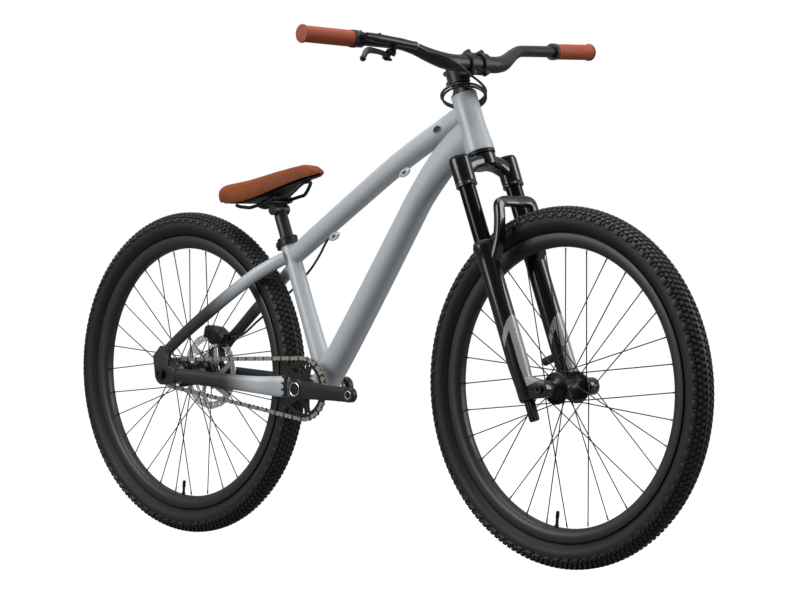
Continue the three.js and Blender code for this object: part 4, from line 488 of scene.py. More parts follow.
for label, side in SIDES:
    turned_piece(f"bearing_cup_{label}", "frame", black_anodised,
                 f"{label}_bottom_bracket_cup", placed(BRACKET), outward(side, [
                     (12.8, 24.8), (20, 24.8), (20, 36.8), (22, 36.8), (22.5, 37.4), (22.5, 41.4),
                     (21.8, 42.3), (15.5, 42.3), (14.8, 41.2), (12.8, 41.2)]), 56, Y_AXIS)
turned_piece("spindle", "cranks", bolt_steel, "crank_spindle", placed(BRACKET), [
    (8.5, -72), (11.4, -72), (12, -71.4), (12, 71.4), (11.4, 72), (8.5, 72)], 48, Y_AXIS)

# Tyres: folded casings of black rubber with three rows of staggered blocks on each side of the middle,
# long lugs on the shoulders with short ones between them, and a plain sidewall with two low ribs.
WHEELS = (("front", FRONT_AXLE), ("rear", REAR_AXLE))
tyre_rubber = surface("tyre_rubber", (0.012, 0.012, 0.0135), 0.55, shine=0.35, speckle=0.18,
                      speckle_scale=220, bump=0.12, bump_scale=700, wear=0.12)
knob_rubber = surface("tread_rubber", (0.011, 0.011, 0.0125), 0.5, shine=0.5, speckle=0.2, speckle_scale=160,
                      bump=0.1, bump_scale=900, wear=0.1)
casing_centre, casing_half_width, casing_height = 308.2, 24.6, 23.6
casing_edge, rib_angles, rib_height = 126, (102, 114), 0.35
knob_taper, knob_sunk = 0.82, 0.38
tread_cells = 86
tread_blocks = []
for side in (-1, 1):
    for phase in (0.0, 0.5):
        tread_blocks.append((side * 10, phase + 0.06 * side, 8.2, 6.6, 3.4))
        tread_blocks.append((side * 27, phase + 0.25, 7.6, 6.2, 3.5))
        tread_blocks.append((side * 45, phase + 0.02, 7.8, 6.0, 3.6))
    tread_blocks.append((side * 67, 0.27, 14.5, 9.4, 3.4))
    tread_blocks.append((side * 62, 0.77, 6.2, 6.4, 3.2))


def casing_point(degrees, out=0.0):
    """A point of the tyre's section: its radius from the axle and its place across."""
    angle = math.radians(degrees)
    radius = casing_centre + (casing_height + out) * math.cos(angle)
    return (radius, (casing_half_width + out) * math.sin(angle))


for label, hub_centre in WHEELS:
    bm = bmesh.new()
    section = [casing_point(a, rib_height if abs(a) in rib_angles else 0.0)
               for a in range(-casing_edge, casing_edge + 1, 6)]
    lips = [(286, 11.2), (285.6, 10.4), (277, 10.4), (276.5, 7.2), (281, 7)]
    inner = [casing_point(a, -2.6) for a in range(108, -109, -24)]
    turned(bm, section + lips + inner + [(r, -y) for r, y in reversed(lips)], 144, Y_AXIS)
    done_faces = set(bm.faces)
    for degrees, phase, long, wide, tall in tread_blocks:
        r, y = casing_point(degrees)
        angle = math.radians(degrees)
        lean = math.atan2(math.sin(angle) / casing_half_width, math.cos(angle) / casing_height)
        knob = bmesh.ops.create_cube(bm, size=1)["verts"]
        top_edges = {e for v in knob if v.co.z > 0 for e in v.link_edges}
        for v in knob:
            shrink = knob_taper if v.co.z > 0 else 1.0
            v.co = mm(v.co.x * long * shrink, v.co.y * wide * shrink, (v.co.z + knob_sunk) * tall)
        tread = Matrix.Rotation(FULL_TURN * phase / tread_cells, 4, "Y") @ placed(mm(0, y, r), -lean, "X")
        bmesh.ops.transform(bm, matrix=tread, verts=knob)
        bmesh.ops.bevel(bm, geom=list(top_edges), offset=0.0006, affect="EDGES", segments=1, profile=0.5,
                        material=-1)
        faces = [f for f in bm.faces if f not in done_faces]
        geom = faces + list({e for f in faces for e in f.edges}) + list({v for f in faces for v in f.verts})
        bmesh.ops.spin(bm, geom=geom, cent=(0, 0, 0), axis=Y_AXIS, use_duplicate=True,
                       angle=FULL_TURN * (tread_cells - 1) / tread_cells, steps=tread_cells - 1)
        for f in bm.faces:
            if f not in done_faces:
                f.material_index = 1
        done_faces = set(bm.faces)
    make_piece(bm, f"tyre_{label}", f"{label}_wheel", [tyre_rubber, knob_rubber],
               f"{label}_tyre", placed(hub_centre))

# Rims: wide double-walled black extrusions, rolled and pinned, with a hooked edge on each side,
# a flat bed for the tyre between them, and a rounded inner face that the spokes' nipples stand in.
rim_black = surface("rim_black", (0.040, 0.040, 0.043), 0.4, metallic=0.5, speckle=0.08, bump=0.03)
half_rim = [(274, 0), (274, 8.5), (276, 11), (283.6, 11), (284.8, 11.8), (285, 13.2), (284.6, 14.8),
            (283, 15.5), (273, 15.4), (267, 14.4), (262.5, 11.2), (260, 7.6), (259.2, 4.5), (259, 0)]
for label, hub_centre in WHEELS:
    turned_piece(f"hoop_{label}", f"{label}_wheel", rim_black, f"{label}_rim",
                 placed(hub_centre), half_rim + [(r, -y) for r, y in reversed(half_rim[1:-1])], 160, Y_AXIS)

# Hubs and spokes: black turned shells with drilled flanges, laced three-cross with black steel spokes
# whose heads sit in the flanges and whose nipples stand in the rim.
hub_black = surface("hub_black", (0.010, 0.010, 0.011), 0.32, metallic=0.3, bump=0.03)
spoke_count, crossings, flange_circle, nipple_circle = 32, 3, 27, 257.6


def rod(bm, start, end, radius, end_radius=None, sides=8):
    run = end - start
    turn = run.to_track_quat("Z", "Y").to_matrix().to_4x4()
    bmesh.ops.create_cone(bm, cap_ends=True, segments=sides, radius1=radius, radius2=end_radius or radius,
                          depth=run.length, matrix=Matrix.Translation((start + end) / 2) @ turn)


front_hub = dict(left=29, right=-29, profile=[
    (7.7, -49.7), (10.6, -49.7), (12, -48.6), (12, -42), (13.5, -40.5), (17.5, -34), (21, -31.5),
    (29.2, -31.5), (30, -30.6), (30, -27.4), (29.2, -26.5), (22, -26.5), (17.2, -19), (16, -14), (16, 14),
    (17.2, 19), (22, 26.5), (29.2, 26.5), (30, 27.4), (30, 30.6), (29.2, 31.5), (22, 31.5), (19, 33.5),
    (19, 42), (16, 43), (13, 46.5), (12, 49.7), (7.7, 49.7)])
rear_hub = dict(left=33, right=-19, profile=[
    (6.3, -29), (19.4, -29), (20, -28.4), (20, -24), (22.5, -21.5), (29.2, -21.5), (30, -20.6), (30, -17.4),
    (29.2, -16.5), (24, -16.5), (20.6, -10), (20, -5), (20, 22), (21, 27), (24, 30.5), (29.2, 30.5),
    (30, 31.4), (30, 34.6), (29.2, 35.5), (22.5, 35.5), (20, 39), (20, 53.4), (19.4, 54), (6.3, 54)])
for (label, hub_centre), hub in zip(WHEELS, (front_hub, rear_hub)):
    bm = bmesh.new()
    turned(bm, hub["profile"], 56, Y_AXIS)
    for flange, side in ((hub["left"], 1), (hub["right"], -1)):
        for k in range(spoke_count // 2):
            pull = 1 if k % 2 == 0 else -1
            rim_turn = FULL_TURN * (k + 0.5) / (spoke_count / 2)
            if side < 0:
                rim_turn += FULL_TURN / spoke_count
            hub_x, hub_z = polar(flange_circle, rim_turn + pull * FULL_TURN * crossings / (spoke_count / 2))
            rim_x, rim_z = polar(nipple_circle, rim_turn)
            start, end = mm(hub_x, flange + pull * 3.1, hub_z), mm(rim_x, 0, rim_z)
            run = (end - start).normalized()
            rod(bm, start, end - run * 0.006, 0.00112)
            rod(bm, end - run * 0.008, end, 0.0016, 0.0015, sides=6)
            rod(bm, start - Y_AXIS * pull * 0.0012, start - Y_AXIS * pull * 0.0064, 0.0021, 0.0016)
    make_piece(bm, f"laced_hub_{label}", f"{label}_wheel", hub_black,
               f"{label}_hub_and_spokes", placed(hub_centre))

# Valves: slim stems with a threaded foot, a round nut against the rim and a plastic cap.
# Each stands midway between two spokes.
valve_black = surface("valve_black", (0.014, 0.014, 0.015), 0.35, metallic=0.4)
for label, hub_centre in WHEELS:
    turned_piece(f"valve_stem_{label}", f"{label}_wheel", valve_black, f"{label}_valve",
                 placed(hub_centre, math.pi / spoke_count), [
                     (0, -273.7), (3, -273.7), (3, -258), (4.4, -257.6), (4.6, -256), (4, -255), (3, -254.6),
                     (2.9, -243), (3.6, -242), (3.6, -231), (2.6, -229.4), (0, -229.3)], 24, closed=False)


# Brake disc: a stainless plate with a drilled braking track on slanting arms,
# bolted to the left of the rear hub.
def circle_points(x, z, radius, sides):
    return [(x + radius * math.cos(FULL_TURN * k / sides), z + radius * math.sin(FULL_TURN * k / sides))
            for k in range(sides)]


def flat_plate(bm, loops, y, thick):
    """Fills an outline with its holes and gives the plate its thickness about y, in millimetres."""
    edges = []
    for points in loops:
        verts = [bm.verts.new(mm(x, y - thick / 2, z)) for x, z in points]
        edges += [bm.edges.new((verts[k], verts[(k + 1) % len(verts)])) for k in range(len(verts))]
    filled = bmesh.ops.triangle_fill(bm, edges=edges, use_beauty=True)["geom"]
    faces = [g for g in filled if isinstance(g, bmesh.types.BMFace)]
    grown = bmesh.ops.extrude_face_region(bm, geom=faces, use_keep_orig=True)["geom"]
    moved = [g for g in grown if isinstance(g, bmesh.types.BMVert)]
    bmesh.ops.translate(bm, vec=(0, thick / 1000, 0), verts=moved)


disc_steel = surface("disc_steel", (0.80, 0.81, 0.83), 0.28, metallic=0.6, speckle=0.05, bump=0.03,
                     bump_scale=900)
disc_middle = 55.25
outer = []
for k in range(96):
    t = FULL_TURN * k / 96
    outer.append(polar(79.2 + 0.8 * math.cos(12 * t), t))
loops = [outer, circle_points(0, 0, 18, 32)]
for k in range(6):
    start = math.pi / 3 * k
    window = [polar(64.5, start + math.radians(26) + math.radians(44) * s / 8) for s in range(9)]
    for radius, degrees in ((38, 50), (38, 42), (38, 34), (29, 28), (29, 16), (29, 6), (48, 14)):
        window.append(polar(radius, start + math.radians(degrees)))
    loops.append(window)
    for j in range(4):
        hole = polar(70 + (3.2 if j % 2 else -0.6), start + math.radians(8 + 15 * j))
        loops.append(circle_points(*hole, 2.1, 10))
bm = bmesh.new()
flat_plate(bm, loops, disc_middle, 1.9)
make_piece(bm, "brake_disc", "rear_wheel", disc_steel, "brake_rotor", placed(REAR_AXLE))

# Caliper: a black forged body over the disc's upper edge, bolted to the left stay,
# with two round piston caps and two steel-backed pads.
caliper_up = math.radians(70)
caliper_place = placed(REAR_AXLE + mm(76 * math.cos(caliper_up), disc_middle, 76 * math.sin(caliper_up)),
                       math.radians(20))
caliper_black = surface("caliper_black", (0.010, 0.010, 0.011), 0.34, metallic=0.3)
bm = bmesh.new()
for y_low, y_high in ((-16.8, -5.9), (5.9, 11.4)):
    middle = (y_low + y_high) / 2
    line = [mm(-28.5, middle, 3.4), mm(0, middle, 6.6), mm(28.5, middle, 3.4)]
    draw_bar(bm, line, [23, 33, 23], [y_high - y_low] * 2, 14, 24, 4)
line = [mm(-27, -2.7, 13.5), mm(0, -2.7, 17.6), mm(27, -2.7, 13.5)]
draw_bar(bm, line, [9, 12, 9], [24, 27, 24], 14, 24, 4)
rod(bm, mm(0, -16.9, 0), mm(0, -12, 0), 0.0140, sides=36)
rod(bm, mm(0, 9, 0), mm(0, 11.4, 0), 0.0136, sides=36)
for x in (-25.5, 25.5):
    rod(bm, mm(x, -8, -8.4), mm(x, -8, 14.5), 0.0078, sides=24)
    rod(bm, mm(x, -8, 14.5), mm(x, -8, 17), 0.0046, sides=12)
make_piece(bm, "caliper_body", "frame", caliper_black, "brake_caliper", caliper_place)
pad_steel = surface("pad_backing_steel", (0.35, 0.34, 0.32), 0.4, metallic=0.9)
for node in ("outer_brake_pad", "inner_brake_pad"):
    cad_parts[node].data.materials.clear()
    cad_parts[node].data.materials.append(pad_steel)

# Rear axle: a black through bolt with a socket in its drive-side head.
# It clamps the hub between the two forged plates.
turned_piece("axle_rear", "frame", black_anodised, "rear_axle", placed(REAR_AXLE), [
    (0, -85.6), (3.4, -85.6), (3.6, -90), (10.2, -90.2), (11.3, -89.2), (11.5, -80.3), (6, -80.3), (6, 80.3),
    (11.5, 80.3), (11.2, 85.2), (10.2, 85.9), (0, 86)], 48, Y_AXIS, closed=False)

# Chain: roller chain of one half inch pitch, its outer and inner links turn about,
# each link a pair of waisted plates on two pins with a roller between them.
PITCH = 12.7
ring_teeth, cog_teeth, link_count = 30, 14, 84
ring_radius = PITCH / (2 * math.sin(math.pi / ring_teeth))
cog_radius = PITCH / (2 * math.sin(math.pi / cog_teeth))
centres = (BRACKET - REAR_AXLE).length * 1000
chain_lean = math.asin((ring_radius - cog_radius) / centres)
chain_tilt = math.atan2(REAR_AXLE.z - BRACKET.z, BRACKET.x - REAR_AXLE.x)


def pin_place(pitches):
    """Where a chain pin stands, counted in pitches from the front of the ring."""
    ring_share = ring_teeth * (math.pi / 2 + chain_lean) / FULL_TURN
    run_share = centres * math.cos(chain_lean) / PITCH
    back = pitches > link_count / 2
    travel = link_count - pitches if back else pitches
    turn = math.pi / 2 + chain_lean
    if travel <= ring_share:
        x, z = polar(ring_radius, FULL_TURN * travel / ring_teeth)
    elif travel <= ring_share + run_share:
        run = (travel - ring_share) * PITCH
        x = ring_radius * math.cos(turn) - run * math.sin(turn)
        z = ring_radius * math.sin(turn) + run * math.cos(turn)
    else:
        x, z = polar(cog_radius, math.pi - FULL_TURN * (link_count / 2 - travel) / cog_teeth)
        x -= centres
    return Vector((x, 0, -z if back else z))


chain_bright = surface("chain_outer_plates", (0.42, 0.40, 0.33), 0.34, metallic=0.7, speckle=0.2,
                       speckle_scale=400, bump=0.04)
chain_dark = surface("chain_inner_plates", (0.075, 0.072, 0.062), 0.4, metallic=0.6, speckle=0.2,
                     speckle_scale=400, bump=0.04)
chain_line_y, plate_thickness = -50, 0.9
upper_edge = [(-10.6, 0), (-9.8, 2.9), (-6.8, 4.5), (-3.6, 3.6), (0, 2.2), (3.6, 3.6), (6.8, 4.5), (9.8, 2.9)]
plate_shape = upper_edge + [(-x, -z) for x, z in upper_edge]
bm = bmesh.new()
for link in range(link_count):
    start, end = pin_place(link), pin_place((link + 1) % link_count)
    run = end - start
    lie = placed((start + end) / 2 / 1000 + mm(0, chain_line_y, 0), math.atan2(-run.z, run.x))
    side_place = 3.05 if link % 2 else 2.05
    for side in (-1, 1):
        y = side * side_place - plate_thickness / 2
        plate = thick_face(bm, [mm(x, y, z) for x, z in plate_shape], plate_thickness)
        for face in {f for v in plate for f in v.link_faces}:
            face.material_index = 1 - link % 2
        bmesh.ops.transform(bm, matrix=lie, verts=list(plate))
    pin = start / 1000 + mm(0, chain_line_y, 0)
    rod(bm, pin - Y_AXIS * 0.0016, pin + Y_AXIS * 0.0016, 0.0038, sides=10)
    rod(bm, pin - Y_AXIS * 0.0037, pin + Y_AXIS * 0.0037, 0.0018)
make_piece(bm, "roller_chain", "frame", [chain_bright, chain_dark], "chain",
           placed(BRACKET, chain_tilt), smooth=30)


# Chainring and cog: toothed plates in mesh with the chain; the ring is black with five open windows,
# the cog is bare steel on the driver that turns beside the hub.
def toothed(teeth, radius):
    tooth = ((0.2, -4.1), (0.29, -3.2), (0.40, 2.2), (0.45, 3.4), (0.55, 3.4), (0.60, 2.2), (0.71, -3.2),
             (0.8, -4.1))
    return [polar(radius + rise, (k + share) * FULL_TURN / teeth)
            for k in range(teeth) for share, rise in tooth]


ring_black = surface("chainring_black", (0.010, 0.010, 0.011), 0.36, metallic=0.3)
loops = [toothed(ring_teeth, ring_radius), circle_points(0, 0, 12.6, 32)]
for k in range(5):
    start, end = FULL_TURN * (k + 0.13) / 5, FULL_TURN * (k + 0.87) / 5
    window = [polar(48.5, start + (end - start) * s / 9) for s in range(10)]
    for radius, turn in ((41, end - 0.02), (29, end - 0.2), (26, (start + end) / 2), (29, start + 0.2),
                         (41, start + 0.02)):
        window.append(polar(radius, turn))
    loops.append(window)
    loops.append(circle_points(*polar(50, FULL_TURN * k / 5), 2.2, 12))
bm = bmesh.new()
flat_plate(bm, loops, chain_line_y, 2.2)
make_piece(bm, "chainring_plate", "cranks", ring_black, "chainring",
           placed(BRACKET, chain_tilt), smooth=30)
cog_steel = surface("cog_steel", (0.42, 0.41, 0.39), 0.32, metallic=0.9)
bm = bmesh.new()
flat_plate(bm, [toothed(cog_teeth, cog_radius), circle_points(0, 0, 14, 24)], chain_line_y, 2.2)
bmesh.ops.transform(bm, matrix=Matrix.Rotation(math.pi + chain_tilt, 4, "Y"), verts=bm.verts)
turned(bm, [(6.3, -66), (12, -66), (13, -65), (15.5, -62.5), (17.5, -61.5), (17.5, -57.8), (16.6, -57),
            (16.6, -43), (17.5, -42.2), (17.5, -30.2), (16.8, -29.3), (6.3, -29.3)], 48, Y_AXIS)
make_piece(bm, "cog_and_driver", "rear_cog", cog_steel, "rear_cog", placed(REAR_AXLE), smooth=30)

# Cranks: hollow forged black arms, deep at the spindle and slim at the pedal,
# with a bright ring round the spindle bolt and round the pedal thread.
crank_black = surface("crank_black", (0.030, 0.030, 0.032), 0.34, metallic=0.5, speckle=0.1, bump=0.04)
CRANK = placed(BRACKET, math.radians(1.9))
crank_length = 165
for label, side in reversed(SIDES):
    ahead = -side
    bm = bmesh.new()
    line = [mm(-ahead * 2, side * 66, 0), mm(ahead * 19, side * 66.4, 0), mm(ahead * 57.75, side * 72.8, 0),
            mm(ahead * 115.5, side * 81, 0), mm(ahead * 166, side * 83, 0)]
    draw_bar(bm, line, [39, 37.5, 33.6, 29, 28.6], [14, 14], 50, 36, 3.2)
    for centre, radius, inner, face_y in ((0, 20, 12.3, 73), (ahead * crank_length, 14.5, 7, 90)):
        back_y = face_y - 14
        add_turned(bm, outward(side, [
            (inner, back_y), (radius - 1.5, back_y), (radius, back_y + 1.5), (radius, face_y - 1.6),
            (radius - 1.6, face_y), (inner + 1.5, face_y), (inner + 1.2, face_y - 0.8),
            (inner, face_y - 0.8)]), placed(mm(centre, 0, 0)), 56, Y_AXIS)
    make_piece(bm, f"crank_{label}", "cranks", crank_black, f"{label}_crank_arm", CRANK)
bright_ring = surface("bright_ring", (0.62, 0.62, 0.63), 0.22, metallic=1.0)
for label, side in reversed(SIDES):
    bm = bmesh.new()
    turned(bm, outward(side, [(12, 71.4), (13.8, 71.4), (14, 75), (13.3, 75.3), (12, 75)]), 48, Y_AXIS)
    add_turned(bm, outward(side, [(6.6, 78), (8.2, 78), (8.6, 90.1), (8, 90.3), (6.6, 90)]),
               placed(mm(-side * crank_length, 0, 0)), 40, Y_AXIS)
    make_piece(bm, f"crank_rings_{label}", "cranks", bright_ring, place=CRANK)
    turned_piece(f"crank_bolt_{label}", "cranks", black_anodised, None, CRANK, outward(side, [
        (0, 71.4), (12, 71.4), (12, 74.6), (10.6, 74.6), (10.2, 73.9), (0, 73.9)]), 40, Y_AXIS, closed=False)

# Fork crown, steerer and sleeves: one gloss black forging with waisted arms to the two sleeves
# that hold the stanchions; the steerer is pressed in and runs up through the head tube.
fork_gloss = dict(colour=(0.005, 0.005, 0.006), roughness=0.2, speckle=0.05, bump=0.0, coat=0.4, wear=0.05)
gloss_black = surface("fork_gloss_black", **fork_gloss)
leg_out = 65
bm = bmesh.new()
arm_line = [mm(0, -leg_out, -38), mm(0, -33, -24.5), mm(0, 0, -21), mm(0, 33, -24.5), mm(0, leg_out, -38)]
draw_bar(bm, arm_line, [38, 26, 24, 26, 38], [28, 34, 42, 34, 28], 48, 32, 2.8)
turned(bm, [(0, -33), (17, -33), (24, -30), (26, -26), (26, -9), (24.8, -7.3), (19.5, -7), (19.5, 0),
            (14.3, 50), (14.3, 178), (0, 178)], closed=False)
for side in (-1, 1):
    add_turned(bm, [(16.4, -70), (19.9, -70), (20.5, -69.2), (20.5, -66), (19.9, -65), (20.2, -60),
                    (20.5, -30), (20.5, -15.6), (20, -15), (16.4, -15)], placed(mm(0, side * leg_out, 0)))
make_piece(bm, "crown_forging", "steering", gloss_black, "fork_crown_and_steerer", STEER)

# Stanchions: dark polished tubes with a low turned cap on each; they slide in the lower legs.
# Their upper ends are pressed into the crown's sleeves.
stanchion_dark = surface("stanchion_dark", (0.012, 0.012, 0.013), 0.1, metallic=0.7, speckle=0.02, bump=0.0,
                         wear=0.03)
for label, side in SIDES:
    turned_piece(f"stanchion_tube_{label}", "steering", stanchion_dark, f"{label}_stanchion",
                 STEER @ placed(mm(0, side * leg_out, 0)), [
                     (13.8, -345), (16, -345), (16, -14.7), (19.2, -14.7), (19.4, -14.2), (19.2, -12),
                     (18.3, -10.7), (13, -10.7), (12.6, -12.2), (6, -12.2), (5.4, -10.9), (0, -10.9),
                     (0, -19), (13.8, -19)], closed=False)

# Lower legs: one magnesium casting in gloss black; two tapered legs, an arch in front of the tyre,
# lugs for the axle ahead of the feet, and a seat for a front brake behind the left leg.
AXLE_DROP, LEG_TOP = -484, -187.5


def mirrored(half):
    """A line and its mirror image across the bike, joined at the middle."""
    return half + [Vector((p.x, -p.y, p.z)) for p in reversed(half[:-1])]


bm = bmesh.new()
for side in (-1, 1):
    add_turned(bm, [(16.4, -462), (16.4, LEG_TOP), (21.2, LEG_TOP), (22, LEG_TOP - 0.8), (22, LEG_TOP - 9),
                    (21.4, LEG_TOP - 13), (20, LEG_TOP - 22), (19.7, LEG_TOP - 32), (19.8, LEG_TOP - 80),
                    (20, -424), (18.6, -446), (17.6, -462), (17.5, -484), (16.8, -490), (14.5, -493),
                    (0, -493), (0, -462)], placed(mm(0, side * leg_out, 0)), 56, closed=False)
half_arch = [mm(11, 61.1, LEG_TOP - 34), mm(30.4, 57.2, LEG_TOP - 2.8), mm(41.4, 49, -149.3),
             mm(46, 44, -123), mm(46, 33, -118), mm(46, 0, -118)]
draw_bar(bm, mirrored(half_arch), [17, 16, 16, 17, 16, 16, 17], [26, 20, 20, 19, 20, 20, 26], 90, 28, 4,
         X_AXIS)
lug_outline = []
for degrees in range(0, 181, 15):
    x, z = polar(17, math.radians(degrees) - math.pi / 2)
    lug_outline.append((40 + x, AXLE_DROP + z))
lug_outline += [(8.75, AXLE_DROP + 37.4), (-8.75, AXLE_DROP + 17), (0, AXLE_DROP - 4.5)]
for side in (-1, 1):
    thick_face(bm, [mm(x, side * 50.4, z) for x, z in lug_outline], side * 25.6, 0.0022)
tab_height = AXLE_DROP + 78
rod(bm, mm(-18, 62, tab_height), mm(-44.5, 62, tab_height), 0.0080, sides=28)
rod(bm, mm(-44.5, 62, tab_height), mm(-46, 62, tab_height), 0.0080, 0.0070, sides=28)


def leg_paint_with_painted_reflection():
    """Gloss black with one plain silver slash, and down the front of each leg a silver panel that is partly
    print and partly a painted reflection.
    """
    material = surface("leg_gloss_black", **fork_gloss)
    tree = material.node_tree
    skin = tree.nodes["Principled BSDF"]
    to_fork = STEER.inverted()
    place = add_node(tree, "TexCoord", {}).outputs["Object"]
    local = add_node(tree, "Mapping", {"Vector": place, "Location": to_fork.translation,
                                       "Rotation": to_fork.to_euler()})
    parts = add_node(tree, "SeparateXYZ", {0: local.outputs[0]})
    ahead, height = parts.outputs["X"], parts.outputs["Z"]

    def step(operation, *values):
        return add_node(tree, "Math", dict(enumerate(values)), operation=operation).outputs[0]

    slanted = step("ADD", height, step("MULTIPLY", ahead, -1.6))
    from_slash = step("ABSOLUTE", step("ADD", slanted, 0.372))
    slash = step("MULTIPLY", step("LESS_THAN", from_slash, 0.009), step("GREATER_THAN", ahead, -0.004))
    # The silver panel down the front of each leg is partly print and partly a painted reflection.
    print_and_painted_reflection = step("MULTIPLY", step("LESS_THAN", slanted, -0.372), step("GREATER_THAN", ahead, 0.0135))
    print_and_painted_reflection = step("MULTIPLY", print_and_painted_reflection, step("GREATER_THAN", height, -0.468))
    black = skin.inputs["Base Color"].links[0].from_socket
    mix = add_node(tree, "Mix", {0: step("MAXIMUM", slash, print_and_painted_reflection), 6: black, 7: (0.33, 0.345, 0.36, 1)},
                   data_type="RGBA")
    set_inputs(tree, skin, {"Base Color": mix.outputs[2]})
    return material


make_piece(bm, "lower_leg_casting", "fork_lowers", leg_paint_with_painted_reflection(), "fork_lower_legs", STEER)
seal_rubber = surface("seal_rubber", (0.014, 0.014, 0.015), 0.5)
for label, side in SIDES:
    turned_piece(f"dust_seal_{label}", "fork_lowers", seal_rubber, f"{label}_wiper_seal",
                 STEER @ placed(mm(0, side * leg_out, 0)), [
                     (16.4, -187.2), (20.5, -187.2), (20.5, -185), (20, -184.4), (20.4, -183.6),
                     (19.4, -181.4), (18.2, -180.5), (16.4, -180.5)], 48)

# Front axle and rebound dial: a through bolt with a socket in its head,
# and a ribbed black dial under the right leg.
turned_piece("axle_front", "fork_lowers", black_anodised, "front_axle",
             STEER @ placed(mm(40, 0, AXLE_DROP)), [
                 (0, -77.4), (3, -77.4), (3, -81), (8.2, -81.3), (9, -80.4), (9, -76.3), (7.5, -76.3),
                 (7.5, 74), (6.6, 75), (0, 75)], 48, Y_AXIS, closed=False)
bm = bmesh.new()
ribs = [polar(0.9 if k % 4 < 2 else 1.0, FULL_TURN * k / 48) for k in range(48)]
dial_places = []
for z, r in ((-493.3, 8.3), (-494.2, 9.5), (-499, 10), (-526, 9.8), (-530.6, 9.2), (-531.3, 8.3)):
    dial_places.append(placed(mm(0, -leg_out, z)) @ Matrix.Diagonal((r / 1000, r / 1000, 0.01, 1)))
draw_section(bm, dial_places, ribs)
make_piece(bm, "rebound_dial", "rebound_knob", black_anodised, "rebound_knob", STEER)

# Stem: a short forged clamp with two pinch bolts behind, and an open two-strap faceplate held by four bolts.
# The straps and the body close round the bar.
stem_black = surface("stem_black", (0.030, 0.030, 0.033), 0.38, metallic=0.5, speckle=0.1, bump=0.06)
BAR_AT = Vector((0.0475, 0, 0.1617))


def strap(bm, y_low, y_high, start, end, inner=16.3, outer=21):
    """Part of a ring about the bar, from one angle to another in degrees, seen from the left side."""
    start, end = math.radians(start), math.radians(end)
    corners = [(inner, y_low), (outer - 0.8, y_low), (outer, y_low + 0.8), (outer, y_high - 0.8),
               (outer - 0.8, y_high), (inner, y_high)]
    verts = [bm.verts.new(BAR_AT + mm(r * math.cos(start), y, r * math.sin(start))) for r, y in corners]
    face = bm.faces.new(verts)
    bmesh.ops.spin(bm, geom=[face] + list(face.edges) + verts, cent=BAR_AT, axis=-Y_AXIS, angle=end - start,
                   steps=28)


bm = bmesh.new()
turned(bm, [(14.7, 141.5), (19, 141.5), (20, 142.5), (20, 178.4), (19, 179.5), (14.7, 179.5)])
draw_bar(bm, [mm(15, 0, 160.6), mm(28, 0, 161), mm(33.5, 0, 161.7)], [29, 28, 30], [33, 37, 50], 12, 32, 4)
for z in (150, 171):
    rod(bm, mm(-23, -9, z), mm(-23, 9, z), 0.0048, sides=24)
block(bm, placed(mm(-20.5, 0, 160.5)), (8, 15, 33), 0.002)
strap(bm, -27, -8, 94, 266)
strap(bm, 8, 27, 94, 266)
strap(bm, -9, 9, 120, 240)
make_piece(bm, "stem_body", "steering", stem_black, "stem", STEER)
bm = bmesh.new()
for y_low, y_high in ((-27, -9), (9, 27)):
    strap(bm, y_low + 0.3, y_high - 0.3, -86, 86)
    middle = (y_low + y_high) / 2
    for z in (-20, 20):
        peg(bm, BAR_AT + mm(5, middle, z), "Y", 5.5, 11.5, 24)
        peg(bm, BAR_AT + mm(11.2, middle, z), "Y", 3, 1.2, 6)
strap(bm, -10, 10, -86, -52)
strap(bm, -10, 10, 52, 86)
make_piece(bm, "faceplate_straps", "steering", stem_black, "stem_faceplate", STEER)

# Handlebar: one butted aluminium tube in satin black, thick in the clamp, raised and swept back at each side.
# It is drawn from the right end, and its left half mirrors the right one.
bar_black = surface("bar_black", (0.035, 0.036, 0.040), 0.36, metallic=0.55, speckle=0.08, bump=0.05)


def bar_at(side, y):
    """A point of the straight outer part of the bar, y millimetres from the middle."""
    share = (y - 190) / 207
    return mm(47.5 - (25 + 12 * share), side * y, 161.7 + 46 + 12.7 * share)


half_bar = [bar_at(-1, 397), bar_at(-1, 314.2), bar_at(-1, 231.4), bar_at(-1, 190), mm(26, -166.3, 204.5),
            mm(32, -138.2, 193.9), mm(37.5, -111.6, 180.1), mm(43.8, -83.4, 167.2), mm(47, -59.8, 162.2),
            mm(47.5, -42, 161.7), mm(47.5, -30, 161.7), mm(47.5, 0, 161.7)]
half_sizes = [22.2] * 5 + [23.2, 26.6, 30.8] + [31.8] * 4
bar_sizes = half_sizes + half_sizes[-2::-1]
bm = bmesh.new()
draw_bar(bm, mirrored(half_bar), bar_sizes, bar_sizes, 180, 36, upwards=X_AXIS)
make_piece(bm, "bar_riser", "steering", bar_black, "handlebar", STEER)

